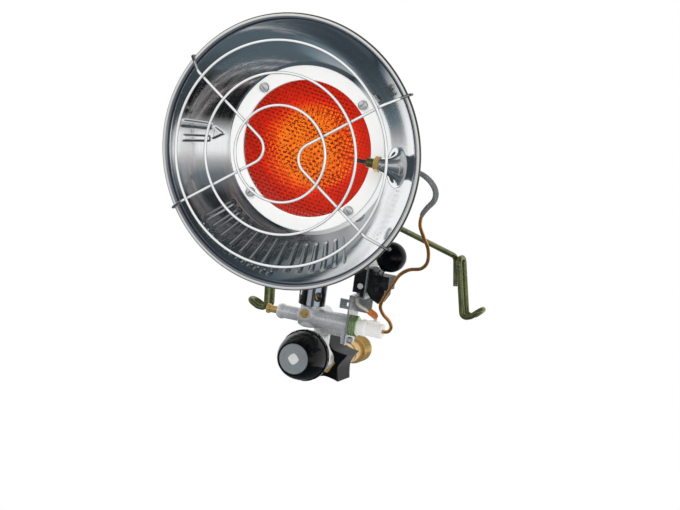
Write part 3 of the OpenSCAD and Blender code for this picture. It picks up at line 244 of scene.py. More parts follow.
def curve_through(points, steps):
    """A smooth line through the points: on each stretch a cubic whose slope at a point is half the
    difference of its neighbours."""
    p = np.asarray(points, float)
    q = np.vstack([p[:1], p, p[-1:]])
    u = (np.arange(steps) / steps)[:, None]
    a, b, c, d = q[:-3, None], q[1:-2, None], q[2:-1, None], q[3:, None]
    run = 0.5 * (2 * b + (c - a) * u + (2 * a - 5 * b + 4 * c - d) * u**2 + (3 * b - a - 3 * c + d) * u**3)
    return np.vstack([run.reshape(-1, 3), p[-1:]])


# ---------------------------------------------------------------- surfaces
def around(sides):
    """Equal steps of angle round a full turn."""
    return np.arange(sides) / sides * TAU


def revolved(r, h, t):
    """Points at radius r and height h, turned by each angle t about local Z, as one list."""
    return np.stack([r * np.cos(t), r * np.sin(t), h + 0 * t], -1).reshape(-1, 3)


def turned(profile, place, sides, ripple=None, closed=False):
    """Surface of revolution: the point at height h and angle t lies at radius r(h) from the axis, plus
    ripple(t, h, r) where that is given. Points on the axis are merged when the mesh is tidied. A closed
    profile, such as a ring's, comes back to its start."""
    profile = np.asarray(profile, float)
    t = around(sides)
    r, h = profile[:, :1], profile[:, 1:]
    if ripple is not None:
        r = r + np.where(r > 1e-6, ripple(t[None, :], h, r), 0.0)
    return place(revolved(r, h, t)), sheet_faces(len(profile), sides, closed)


def swept(path, radius, sides, taper=0.0):
    """Round bar along a path: at each station a circle square to the path, whose starting direction is
    carried along without twist. The ends are domed by three shrinking circles where taper is given. The UV
    map has the share of a turn across and the distance walked, in centimetres, along."""
    p = np.asarray(path, float)
    r = np.broadcast_to(np.asarray(radius, float), (len(p),)).copy()
    if taper:
        a, b = unit(p[0] - p[1]), unit(p[-1] - p[-2])
        dome = np.array(END_STEPS) * math.pi / 2
        k, c = np.sin(dome), np.cos(dome)
        p = np.vstack([p[0] + a * taper * k[:, None], p, (p[-1] + b * taper * k[:, None])[::-1]])
        r = np.concatenate([np.maximum(r[0] * c, 1e-3), r, np.maximum(r[-1] * c, 1e-3)[::-1]])
    t = unit(np.vstack([p[1:], p[-1:]]) - np.vstack([p[:1], p[:-1]]))
    start = np.array([0.0, 1.0, 0.0]) if abs(t[0][1]) < 0.9 else np.array([0.0, 0.0, 1.0])
    n = np.array(list(accumulate(t, lambda m, q: unit(m - (m @ q) * q), initial=start))[1:])
    b = np.cross(t, n)
    a = around(sides)
    circle = np.cos(a)[None, :, None] * n[:, None] + np.sin(a)[None, :, None] * b[:, None]
    grid = p[:, None] + r[:, None, None] * circle
    faces = sheet_faces(len(p), sides)
    walk = np.concatenate([[0.0], np.cumsum(np.linalg.norm(np.diff(p, axis=0), axis=1))])
    uv = np.stack(np.broadcast_arrays((np.arange(sides) / sides)[None, :], walk[:, None] * 0.1), -1).reshape(-1, 2)
    caps = [np.arange(sides)[::-1], (len(p) - 1) * sides + np.arange(sides)]
    return grid.reshape(-1, 3), [*faces, *caps], uv


def hoop(diameter, wire, height, place, sides=14, steps=180):
    """Torus: a circle of the wire's radius carried round a circle of the ring's diameter."""
    a = around(sides)
    profile = np.stack([diameter / 2 + wire / 2 * np.cos(a), height + wire / 2 * np.sin(a)], -1)
    return turned(profile, place, steps, closed=True)


def joined(*shapes):
    """Several meshes' points and faces as one."""
    points, faces, start = [], [], 0
    for p, f in shapes:
        points.append(p)
        faces.extend([np.asarray(q) + start for q in f])
        start += len(p)
    return np.vstack(points), faces


def bump(x, centre, half, soft):
    """1 within half of the centre and 0 beyond half + soft, with a smooth shoulder between."""
    k = np.clip((half + soft - np.abs(x - centre)) / soft, 0, 1)
    return k * k * (3 - 2 * k)


# ---------------------------------------------------------------- nodes
WHITE = (1.0, 1.0, 1.0)
NUMBER, TINT, AIM = "NodeSocketFloat", "NodeSocketColor", "NodeSocketVector"
GREY = (0.5, 0.5, 0.5, 1.0)


class Value:
    """A node's output, whose sums, products and other results are Math nodes."""

    def __init__(self, net, socket):
        self.net, self.socket = net, socket

    def math(self, operation, *others):
        return self.net.add("ShaderNodeMath", dict(enumerate((self, *others))), operation=operation)

    def __add__(self, other):
        return self.math("ADD", other)

    def __sub__(self, other):
        return self.math("SUBTRACT", other)

    def __rsub__(self, other):
        return self.net.add("ShaderNodeMath", {0: other, 1: self}, operation="SUBTRACT")

    def __mul__(self, other):
        return self.math("MULTIPLY", other)

    def __truediv__(self, other):
        return self.math("DIVIDE", other)

    def between(self, low, high, to_low=0.0, to_high=1.0):
        """The value carried smoothly from one range to another."""
        links = {"Value": self, "From Min": low, "From Max": high, "To Min": to_low, "To Max": to_high}
        return self.net.add("ShaderNodeMapRange", links, "Result", interpolation_type="SMOOTHSTEP")


class Net:
    """A node tree, with short ways to place the nodes that the finishes need."""

    def __init__(self, tree):
        self.tree, self.shader = tree, tree.nodes.get("Principled BSDF")

    def add(self, kind, links=None, out=0, **values):
        """One output, or several, of a new node whose properties and sockets are set by name or number."""
        made = self.tree.nodes.new(kind)
        for key, value in values.items():
            setattr(made, key, value)
        for socket, source in (links or {}).items():
            self.feed(made.inputs[socket], source)
        found = [Value(self, made.outputs[i]) for i in (out if isinstance(out, tuple) else (out,))]
        return found if isinstance(out, tuple) else found[0]

    def feed(self, socket, source):
        """Links a socket, or sets it; a colour may lack its fourth number."""
        if isinstance(source, Value):
            self.tree.links.new(source.socket, socket)
        else:
            socket.default_value = (*source, 1.0) if socket.type == "RGBA" and len(source) == 3 else source

    def give(self, **sources):
        """Feeds sockets of the Principled shader; an underscore stands for a space in a name."""
        for name, source in sources.items():
            self.feed(self.shader.inputs[name.replace("_", " ")], source)

    def axes(self, vector):
        """The three numbers of a vector."""
        return self.add("ShaderNodeSeparateXYZ", {0: vector}, (0, 1, 2))

    def place(self):
        """The point of the piece that is shaded, in its own frame."""
        return self.add("ShaderNodeTexCoord", out="Object")

    def aimed(self, centre, turn):
        """The place in a frame with that middle and turn."""
        links = {"Vector": self.place(), "Location": centre, "Rotation": turn}
        return self.add("ShaderNodeMapping", links, vector_type="TEXTURE")

    def noise(self, scale, detail=4.0, rough=0.55, where=None):
        links = {"Vector": where or self.place(), "Scale": scale, "Detail": detail, "Roughness": rough}
        return self.add("ShaderNodeTexNoise", links, "Fac")

    def mix(self, factor, first, second):
        return self.add("ShaderNodeMix", {0: factor, 6: first, 7: second}, 2, data_type="RGBA")

    def far(self, x, y):
        """The length of a vector of two numbers."""
        return (x * x + y * y).math("SQRT")

    def facing(self):
        """0 where the surface faces the eye and 1 at its outline."""
        return self.add("ShaderNodeLayerWeight", {"Blend": 0.5}, "Facing")

    def effect(self, name, out, **given):
        """One of the shared effects, with its own values."""
        return self.add("ShaderNodeGroup", given, out, node_tree=EFFECTS[name])

    def ramp(self, source, stops):
        """Colour ramp with stops of position and colour or grey."""
        made = self.tree.nodes.new("ShaderNodeValToRGB")
        self.feed(made.inputs["Fac"], source)
        elements = made.color_ramp.elements
        while len(elements) < len(stops):
            elements.new(0.5)
        for element, (spot, shade) in zip(elements, stops):
            element.position = spot
            element.color = (*((shade,) * 3 if isinstance(shade, (int, float)) else shade), 1.0)
        return Value(self, made.outputs["Color"])

    def paint_mirror_tone(self, tone):
        """Painted reflection: glossy rays see an emitted plain tone in place of the surface."""
        ray = self.add("ShaderNodeLightPath", out="Is Glossy Ray")
        shine = self.add("ShaderNodeEmission", {"Color": tone})
        both = self.add("ShaderNodeMixShader", {0: ray, 1: Value(self, self.shader.outputs[0]), 2: shine})
        self.feed(self.tree.nodes["Material Output"].inputs["Surface"], both)


# ---------------------------------------------------------------- shared effects
def group(name, build, inputs):
    """A named node group: its sockets, and between them the nodes that build(net, sockets in) places."""
    tree = bpy.data.node_groups.new(name, "ShaderNodeTree")
    for label, (kind, value) in inputs.items():
        socket = tree.interface.new_socket(name=label, in_out="INPUT", socket_type=kind)
        if value is not None:
            socket.default_value = value
    net = Net(tree)
    source = tree.nodes.new("NodeGroupInput").outputs
    made = build(net, {label: Value(net, source[label]) for label in inputs})
    for label in made:
        tree.interface.new_socket(name=label, in_out="OUTPUT", socket_type=TINT if label == "Color" else NUMBER)
    sink = tree.nodes.new("NodeGroupOutput").inputs
    for label, value in made.items():
        net.feed(sink[label], value)
    return tree


def mottle(net, given):
    """Two tones in soft patches."""
    mask = net.noise(given["Scale"], 6.0, 0.62).between(0.34, 0.68) * given["Amount"]
    return {"Color": net.mix(mask, given["Color"], given["Second"])}


def grain(net, given):
    """Fine relief: cell bumps of a moulding or casting, over a slower swell."""
    fine = net.noise(given["Scale"], 3.0, 0.6)
    return {"Height": fine + net.noise(given["Scale"] * 0.13, 2.0) * 0.7, "Mask": fine.between(0.3, 0.7)}


def spun_lines(net, given):
    """Fine circles left by spinning or turning: noise of the distance from local Z, drifting round it."""
    x, y, z = net.axes(given["Vector"])
    links = {0: net.far(x, y) * given["Scale"], 1: y.math("ARCTAN2", x), 2: z * given["Scale"]}
    height = net.noise(1.0, 3.0, 0.7, net.add("ShaderNodeCombineXYZ", links))
    return {"Height": height, "Mask": height.between(0.35, 0.65)}


def scratches(net, given):
    """Sparse straight scuffs: stretched noise kept only at its crests."""
    links = {"Vector": net.place(), "Rotation": (0.5, 0.9, 0.3), "Scale": (1.0, 14.0, 14.0)}
    crest = net.noise(given["Scale"], 2.0, 0.5, net.add("ShaderNodeMapping", links)).between(0.60, 0.74)
    return {"Mask": crest * given["Amount"]}


def worn_edges(net, given):
    """Where edges stand proud, broken up by noise."""
    edge = net.add("ShaderNodeNewGeometry", out="Pointiness").between(0.52, 0.60)
    return {"Mask": edge * net.noise(given["Scale"], 5.0, 0.7).between(0.40, 0.60) * given["Amount"]}


def braid(net, given):
    """Braided threads on a piece's own UV map: two crossing sets of waves, the higher one on top."""
    x, y, _ = net.axes(net.add("ShaderNodeUVMap", uv_map="UVMap"))
    turn, walk = x * (TAU * 8), y * given["Scale"]
    height = (turn + walk).math("SINE").math("MAXIMUM", (turn - walk).math("SINE"))
    return {"Height": height, "Mask": height.between(-0.2, 0.9)}


SCALED = {"Scale": (NUMBER, 60.0)}
SHARE = {**SCALED, "Amount": (NUMBER, 0.5)}
EFFECTS = {
    "mottle": group("Mottled tone", mottle, {"Color": (TINT, GREY), "Second": (TINT, GREY), **SHARE}),
    "grain": group("Fine grain", grain, SCALED),
    "spun": group("Spun lines", spun_lines, {"Vector": (AIM, None), **SCALED}),
    "scuff": group("Scuffs", scratches, SHARE),
    "wear": group("Worn edges", worn_edges, SHARE),
    "braid": group("Braided threads", braid, SCALED),
}


# ---------------------------------------------------------------- finishes
FINISHES = {}
DASH_ROW, DASH_COLUMN, DASH_SLOPE, HOLE_PITCH = 0.0030, 0.0043, 0.12, 0.0056
# Painted reflections on the rolled rim: each band's inner and outer radius in metres, the tone laid over the bowl
# there and its metallic share (or none); the white band is a painted highlight.
RIM_REFLECTIONS = (
    (0.1022, 0.1026, (0.035, 0.045, 0.075), 0.4), (0.1036, 0.1041, (0.30, 0.33, 0.36), 0.5),
    (0.1051, 0.1054, (0.92, 0.92, 0.90), 0.35), (0.1068, 0.1073, (0.06, 0.062, 0.045), None),
)
SPUN_BOWL = ((0.0, -DISH_OUT * MM, DISH_H * MM), (math.pi / 2, 0.0, 0.0))


def darker(value, share):
    """A colour with each of its three shares cut down."""
    return tuple(c * share for c in value)


def finish(name, base, metallic, rough, spread, second, patch, amount, relief, scale=900.0, spun=None,
           braided=False, wear=0.0, worn=(0.62, 0.62, 0.60), scuff=0.0, coat=0.0, specular=0.5):
    """A painted, plated or moulded finish: mottled tone, roughness that varies with a fine pattern, a bump
    from the same pattern, worn edges and scuffs that show a second tone."""
    material = bpy.data.materials.new(name)
    material.use_nodes = True
    FINISHES[name] = material
    net = Net(material.node_tree)
    tone = net.effect("mottle", "Color", Color=base, Second=second, Scale=patch, Amount=amount)
    aim = {"Vector": net.aimed(*spun)} if spun else {}
    kind = "spun" if spun else "braid" if braided else "grain"
    height, mask = net.effect(kind, ("Height", "Mask"), Scale=scale, **aim)
    if braided:
        tone = net.mix(mask, darker(base, 0.35), tone)
    bare = net.effect("wear", "Mask", Scale=250.0, Amount=wear) if wear else None
    if scuff:
        mark = net.effect("scuff", "Mask", Scale=45.0, Amount=scuff)
        bare = bare.math("MAXIMUM", mark) if bare else mark
    if bare:
        tone = net.mix(bare, tone, worn)
    bump_up = net.add("ShaderNodeBump", {"Height": height, "Strength": 1.0, "Distance": relief * MM})
    roughness = mask.between(0.0, 1.0, max(rough - spread, 0.02), rough + spread)
    net.give(Base_Color=tone, Metallic=metallic, Roughness=roughness, Normal=bump_up, Coat_Weight=coat,
             Coat_Roughness=0.06, Specular_IOR_Level=specular)
    return net


def across_bowl(net):
    """The place across and above the bowl's axis, and the distance from it."""
    x, _, z = net.axes(net.add("ShaderNodeMapping", {"Vector": net.place(), "Location": (0.0, 0.0, -DISH_H * MM)}))
    return x, z, net.far(x, z)


def round_ramp(net, across, toward, stops):
    """A ramp round an axis, with its stops in degrees."""
    turn = across.math("ARCTAN2", toward).between(-math.pi, math.pi)
    return net.ramp(turn, [((angle + 180.0) / 360.0, tone) for angle, tone in stops])


def cooled(stops, red, blue):
    """Grey stops, with the dark ones made bluish."""
    return [(spot, (v * red, v, v * blue) if v < 0.3 else (v, v, v)) for spot, v in stops]


def painted_reflection(net, across, up, low, high, stops):
    """Painted reflection of this surface in the polished wall: glossy rays see an emitted smooth scale of tones from
    one side to the other.
    """
    x, z, _ = across_bowl(net)
    net.paint_mirror_tone(net.ramp((x * across + z * up).between(low, high), cooled(stops, 0.74, 1.18)))


def recoloured(net, mask, tone, metallic=None):
    """Lays a colour, and a metallic share, over the finish where the mask is 1."""
    metal, base = net.shader.inputs["Metallic"], net.shader.inputs["Base Color"]
    net.give(Base_Color=net.mix(mask, Value(net, base.links[0].from_socket), tone))
    if metallic is not None:
        start = Value(net, metal.links[0].from_socket) if metal.links else metal.default_value
        net.give(Metallic=mask * (metallic - start) + start)


def finish_bowl(tones):
    """Polished sheet: a painted dark reflection low down on the left, and a rim of painted reflection bands in dark,
    grey and white.
    """
    net = finish("polished_reflector", tones.bowl, 1.0, 0.10, 0.04, darker(tones.bowl, 0.86), 22.0, 0.5, 0.006,
                 spun=SPUN_BOWL, scuff=0.10)
    x, z, away = across_bowl(net)
    # Painted dark reflection: the base colour turns dark slate round the lower left of the bowl, standing in for the
    # dark studio that it would reflect.
    shade = [(-180, 0.0), (-168, 0.35), (-152, 0.66), (-125, 0.66), (-100, 0.48), (-78, 0.36), (-58, 0.0), (180, 0.0)]
    recoloured(net, round_ramp(net, z, x, shade), (0.10, 0.115, 0.125))
    # Painted reflections: dark, grey and white bands round the rolled rim.
    for near, far, tone, metallic in RIM_REFLECTIONS:
        recoloured(net, away.between(near, far), tone, metallic)
    # Painted reflection: the bowl's wall, seen in its own mirror, shows an emitted scale of tones.
    painted_reflection(net, -1.0, 0.0, -0.05, 0.09, [(0.0, 0.06), (0.3, 0.11), (0.76, 0.12), (0.86, 0.24), (1.0, 0.52)])


def finish_guard(tones):
    """Bright wire with a painted glow in its middle, painted shade along its outline, and painted shade on its ends
    outside the rim.
    """
    net = finish("guard_wire", tones.wire, 0.35, 0.20, 0.07, darker(tones.wire, 0.86), 120.0, 0.5, 0.012, 1500.0,
                 scuff=0.12)
    # Painted shade and painted light: by the angle at which the wire is seen, its outline turns near black and its
    # middle gets a white glow.
    edge = net.facing()
    recoloured(net, edge.between(0.32, 0.60), (0.03, 0.034, 0.04))
    net.give(Emission_Color=WHITE, Emission_Strength=edge.between(0.12, 0.34, 0.22, 0.0))
    # Painted shade: the wire turns near black beyond the rim, where the hooks pass behind it.
    recoloured(net, across_bowl(net)[2].between(0.1032, 0.1045), (0.02, 0.021, 0.024), 0.3)


def finish_ring(tones):
    """White enamel with a painted glow that keeps it white in the bowl's shade, and a painted reflection in mirrors.
    """
    net = finish("white_enamel", tones.enamel, 0.0, 0.22, 0.05, (0.95, 0.95, 0.93), 35.0, 0.35, 0.02, 420.0, coat=0.5)
    # Painted light: an even white glow.
    net.give(Emission_Color=WHITE, Emission_Strength=0.24)
    # Painted reflection: mirrors see this scale of tones in place of the ring.
    stops = [(0.0, 0.10), (0.5, 0.08), (0.585, 0.04), (0.67, 0.2), (0.75, 0.45), (0.82, 0.65), (0.9, 0.85),
             (1.0, 0.98)]
    painted_reflection(net, 0.94, -0.342, -0.06, 0.06, stops)


def finish_tube(tones):
    """Chrome with painted reflections: upright stripes of a studio's tones painted round the tube, up to where the
    bowl hides it.
    """
    net = finish("chromed_tube", tones.chrome, 0.6, 0.10, 0.03, darker(tones.chrome, 0.85), 60.0, 0.4, 0.003, 1200.0,
                 spun=((0.0, TUBE_Y * MM, 0.0), (0.0, 0.0, 0.0)), scuff=0.15)
    x, y, z = net.axes(net.place())
    y = y - TUBE_Y * MM
    # Painted reflections: these colours of the stripes stand in for the studio reflected round the tube.
    dark, pale, navy, blue = (0.012, 0.012, 0.016), (0.97, 0.97, 0.97), (0.05, 0.06, 0.13), (0.60, 0.70, 0.80)
    stripes = round_ramp(net, x * 0.937 + y * 0.35, x * 0.35 - y * 0.937, [
        (-180, blue), (-130, pale), (-95, dark), (-36, dark), (-30, pale), (-9, pale), (-4, navy), (10, navy),
        (17, blue), (48, blue), (55, dark), (95, dark), (120, pale), (150, navy), (180, blue)])
    net.give(Base_Color=net.mix(z.between(0.090, 0.115), stripes, tones.chrome))


def hot_tone(net, x, z, red, orange):
    """Orange in the middle, through red, to deep red at the edge."""
    warm = [0.55 * a + 0.45 * b for a, b in zip(red, orange)]
    stops = [(0, orange), (21, orange), (32, warm), (41, red), (47, darker(red, 0.8)), (54, darker(red, 0.70))]
    return net.ramp(net.far(x + 0.002, z).between(0.0, 0.054), [(p / 54, tuple(c)) for p, c in stops])


def glowing(name, base, make):
    """Hot metal: dull dark sheet that gives off the tone that make(net) places, and a painted reflection of its own
    in mirrors.
    """
    net = finish(name, base, 0.2, 0.7, 0.1, (0.03, 0.01, 0.01), 300.0, 0.6, 0.02, specular=0.1)
    net.give(Emission_Color=make(net), Emission_Strength=1.0)
    # Painted reflection: mirrors see this grey scale of tones in place of the glow.
    painted_reflection(net, 0.45, -1.0, -0.040, 0.031,
             [(0.0, 0.05), (0.35, 0.10), (0.56, 0.17), (0.70, 0.32), (0.82, 0.55), (0.91, 0.88), (1.0, 1.0)])


def red_hot(net, red, orange, marks):
    """A tone that follows the place, uneven patches, and rows of short dark dashes."""
    x, z, _ = across_bowl(net)
    row = (z + x * DASH_SLOPE) / DASH_ROW + 100.0
    column = x / DASH_COLUMN + 100.0 + row.math("FLOOR") * 0.5
    across, upright = [(v.math("FRACT") - 0.5).math("ABSOLUTE") for v in (column, row)]
    dash = across.between(0.30, 0.40, 1.0, 0.0) * upright.between(0.20, 0.30, 1.0, 0.0)
    dash = dash * x.between(0.030, 0.039, marks, marks * 0.35)
    uneven = net.noise(260.0, 3.0).between(0.40, 0.62, 0.0, 0.45)
    return net.mix(dash.math("MAXIMUM", uneven), hot_tone(net, x, z, red, orange), darker(red, 0.18))


def orange_hot(net, bright, dull):
    """Perforated sheet: rows of dark holes, a ring of dark slots at the edge, red beyond it."""
    x, y, _ = net.axes(net.aimed(*SPUN_BOWL))
    away = net.far(x, y)

    def from_hole(v, pitch, shift):
        return ((v / pitch + (20.0 + shift)).math("FRACT") - 0.5) * pitch

    rows = [net.far(from_hole(x, HOLE_PITCH * 1.15, shift), from_hole(y, HOLE_PITCH, shift)) for shift in (0.0, 0.5)]
    hole = rows[0].math("MINIMUM", rows[1]).between(0.0010, 0.0014, 1.0, 0.0)
    spoke = (y.math("ARCTAN2", x) * 20.0).math("SINE").math("ABSOLUTE")
    band = away.between(0.0262, 0.0268) * away.between(0.0306, 0.0312, 1.0, 0.0)
    slots = band * spoke.between(0.42, 0.6, 1.0, 0.0)
    dark = (hole * away.between(0.0262, 0.0266, 1.0, 0.0)).math("MAXIMUM", slots)
    glow = net.mix(net.noise(70.0, 3.0).between(0.3, 0.7), (0.85, 0.13, 0.006), bright)
    x, z, _ = across_bowl(net)
    glow = net.mix(away.between(0.0300, 0.0335), glow, hot_tone(net, x, z, dull, bright))
    return net.mix(dark, glow, (0.30, 0.016, 0.004))


def make_finishes(tones):
    """Every finish of the heater, by the record's slots."""
    for make in (finish_bowl, finish_guard, finish_ring, finish_tube):
        make(tones)
    red, orange, black = tones.glow_red, tones.glow_orange, tones.black
    glowing("glowing_screen", (0.05, 0.015, 0.01), lambda net: red_hot(net, red, orange, 1.0))
    glowing("glowing_cup", (0.05, 0.015, 0.01), lambda net: red_hot(net, red, red, 0.0))
    glowing("glowing_dome", (0.05, 0.02, 0.01), lambda net: orange_hot(net, orange, red))
    net = finish("bright_steel", (0.97, 0.97, 0.97), 0.5, 0.17, 0.06, (0.84, 0.85, 0.86), 300.0, 0.5, 0.012, 1400.0,
                 scuff=0.2)
    # Painted shade: the screw heads darken towards their outline, by the angle at which they are seen.
    recoloured(net, net.facing().between(0.17, 0.42), (0.05, 0.054, 0.06))
    net = finish("white_plastic", (0.95, 0.95, 0.93), 0.0, 0.34, 0.08, (0.84, 0.83, 0.79), 90.0, 0.4, 0.02, 1300.0)
    # Painted light: an even glow keeps the white plastic near white.
    net.give(Emission_Color=WHITE, Emission_Strength=0.16)
    finish("gasket_fibre", (0.66, 0.64, 0.58), 0.0, 0.9, 0.05, (0.50, 0.48, 0.44), 400.0, 0.7, 0.15, 1600.0)
    finish("plated_sheet", (0.58, 0.60, 0.61), 1.0, 0.32, 0.08, (0.44, 0.46, 0.48), 130.0, 0.7, 0.012, 1300.0,
           spun=SPUN_BOWL)
    finish("brass", tones.brass, 0.6, 0.22, 0.08, darker(tones.brass, 0.55), 150.0, 0.55, 0.012, 1500.0, wear=0.3,
           worn=(0.88, 0.68, 0.34))
    finish("zinc_casting", tones.casting, 0.45, 0.28, 0.02, darker(tones.casting, 0.80), 90.0, 0.5, 0.002, 1100.0,
           wear=0.08, worn=(0.97, 0.97, 0.97))
    finish("spring_steel", (0.42, 0.43, 0.45), 1.0, 0.30, 0.08, (0.25, 0.22, 0.20), 200.0, 0.5, 0.01)
    finish("seal_rubber", (0.018, 0.018, 0.018), 0.0, 0.62, 0.1, (0.05, 0.05, 0.05), 300.0, 0.5, 0.02)
    # The pale worn edges are partly real wear and partly painted highlights on the nut's edges.
    finish("green_plated_nut", (0.42, 0.62, 0.28), 0.7, 0.20, 0.08, (0.66, 0.72, 0.42), 110.0, 0.8, 0.01, wear=0.6,
           worn=(0.88, 0.92, 0.80))
    finish("plate_steel", (0.60, 0.62, 0.62), 0.9, 0.34, 0.10, (0.42, 0.44, 0.45), 160.0, 0.7, 0.012, 700.0, wear=0.5,
           worn=(0.85, 0.86, 0.86), scuff=0.3)
    finish("black_moulding", darker(black, 0.5), 0.0, 0.36, 0.10, (0.012, 0.012, 0.017), 80.0, 0.6, 0.05, 1500.0,
           wear=0.35, worn=(0.08, 0.08, 0.09), specular=0.3)
    finish("gloss_black", darker(black, 0.25), 0.0, 0.10, 0.04, (0.003, 0.003, 0.005), 40.0, 0.5, 0.003, 800.0,
           scuff=0.04, worn=(0.02, 0.02, 0.025), specular=0.18)
    finish("wheel_black", darker(black, 0.4), 0.0, 0.42, 0.10, (0.005, 0.005, 0.011), 70.0, 0.6, 0.05, 1300.0,
           wear=0.4, worn=(0.05, 0.05, 0.055), specular=0.14)
    finish("wire_white", (0.80, 0.78, 0.70), 0.0, 0.42, 0.08, (0.66, 0.60, 0.48), 160.0, 0.6, 0.02)
    finish("sleeve_orange", (0.72, 0.22, 0.035), 0.0, 0.45, 0.1, (0.45, 0.12, 0.02), 160.0, 0.6, 0.03)
    finish("probe_steel", (0.22, 0.20, 0.19), 1.0, 0.38, 0.10, (0.10, 0.07, 0.06), 220.0, 0.8, 0.015)
    finish("olive_zinc", tones.olive, 0.8, 0.24, 0.10, (0.07, 0.13, 0.06), 75.0, 0.85, 0.02, 1300.0, wear=0.4,
           worn=(0.60, 0.60, 0.52), scuff=0.35)
    finish("sleeve_grey", (0.46, 0.47, 0.47), 0.0, 0.75, 0.1, (0.30, 0.31, 0.32), 200.0, 0.6, 0.12, 2600.0,
           braided=True)
    finish("copper", tones.copper, 0.85, 0.24, 0.08, (0.34, 0.13, 0.045), 120.0, 0.6, 0.012)
    finish("label_grey", (0.26, 0.29, 0.31), 0.0, 0.36, 0.06, (0.20, 0.225, 0.24), 120.0, 0.5, 0.015, 1700.0)
    finish("label_white", (0.82, 0.83, 0.82), 0.0, 0.36, 0.06, (0.70, 0.71, 0.70), 200.0, 0.4, 0.01, 1700.0)


def finish_nodes():
    """Gives every CAD node the finish of its slot."""
    for part in frame["record"]["subparts"]:
        slots = frame["nodes"][part["node"]].data.materials
        slots.clear()
        slots.append(FINISHES[part["material_slot"]])


# ---------------------------------------------------------------- reused shapes
def merged_copy(name, flatten=False):
    """A copy of a CAD node's mesh with its loose triangles merged and, if asked, its flat faces joined."""
    mesh = frame["nodes"][name].data.copy()
    tidy = bmesh.new()
    tidy.from_mesh(mesh)
    bmesh.ops.remove_doubles(tidy, verts=tidy.verts, dist=SAME_CAD_POINT)
    if flatten:
        bmesh.ops.dissolve_limit(tidy, angle_limit=FLAT_LIMIT, verts=tidy.verts, edges=tidy.edges)
    tidy.to_mesh(mesh)
    tidy.free()
    return mesh


def settle_node(name, mesh, sharp):
    """Puts a mesh in the place of a CAD node, with the node's slot, finish and body."""
    slot = next(p["material_slot"] for p in frame["record"]["subparts"] if p["node"] == name)
    return settle(name + "_surface", mesh, slot, frame["nodes"][name]["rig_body"], [name], sharp)


def dress(**widths):
    """CAD nodes' own shapes with broken edges: every edge sharper than the limit gets a small round, of the
    width in millimetres that is given for the node."""
    for name, width in widths.items():
        piece = settle_node(name, merged_copy(name, flatten=True), 38.0)
        round_off = piece.modifiers.new("broken_edges", "BEVEL")
        round_off.width, round_off.segments = width * MM, EDGE_STEPS
        round_off.limit_method, round_off.angle_limit = "ANGLE", EDGE_LIMIT
        round_off.harden_normals = True


def cast(name, soften):
    """A CAD node as a casting: its shape is laid on a fine grid and its edges and corners are softened."""
    rough_shape = bpy.data.objects.new("casting_form", merged_copy(name))
    bpy.context.scene.collection.objects.link(rough_shape)
    grid = rough_shape.modifiers.new("grid", "REMESH")
    grid.mode, grid.voxel_size = "VOXEL", bpy.context.scene.heater_sizes.cast_voxel
    ease = rough_shape.modifiers.new("soften", "SMOOTH")
    ease.factor, ease.iterations = 0.5, soften
    made = bpy.data.meshes.new_from_object(rough_shape.evaluated_get(bpy.context.evaluated_depsgraph_get()))
    bpy.data.objects.remove(rough_shape)
    settle_node(name, made, 60.0)


def soft_loop(points, radius, steps):
    """A closed profile with rounded corners."""
    middle = [(points[0][i] + points[-1][i]) / 2 for i in (0, 1)]
    return soft_profile([middle, *points, middle], radius, steps)[:-1]


# ---------------------------------------------------------------- bowl and boss
FLAT_IN, FLAT_OUT, FILLET_R = 54.0, 58.0, 8.0
WALL_END, REAR_END, LIP_IN = 102.5, 103.2, 103.55
RIM_R, BEAD_R = 106.0, 2.0
BOSS_X, BOSS_FACE, BOSS_FACE_R, BOSS_DEPTH = 80.0, 67.0, 5.75, -23.0
BOSS_TURN = math.asin(BOSS_X / BOWL_R)
BOSS_OVERLAP = 1.4


def pressed_relief(turn, away):
    """Height pressed into the bowl's wall: radial ribs low down, a row of dimples outside them, and two
    bars with a pointer on the left. Angles are in degrees round the bowl from its right."""
    degrees = np.degrees(turn) % 360
    height = bpy.context.scene.heater_sizes.rib_height / MM
    ribs = bump((degrees - 221) % 6.2, 3.1, 0.75, 0.75) * bump(away, 85.0, 8.0, 3.0) * bump(degrees, 263, 40, 2)
    spots = bump((degrees - 224) % 3.4, 1.7, 0.5, 0.6) * bump(away, 98.0, 0.6, 1.0) * bump(degrees, 246, 21, 1)
    lower_bar = bump(degrees, 183.6, 1.0, 0.8) * bump(away, 87.5, 7.0, 1.5)
    upper_bar = bump(degrees, 176.6, 1.0, 0.8) * bump(away, 88.5, 7.5, 1.5)
    point = bump((degrees - 180) * 1.3, 0.0, np.clip((away - 71.5) * 0.7, 0, 4.5), 0.8) * bump(away, 74.5, 2.6, 0.8)
    return height * np.maximum.reduce([ribs, spots, upper_bar, lower_bar, point])


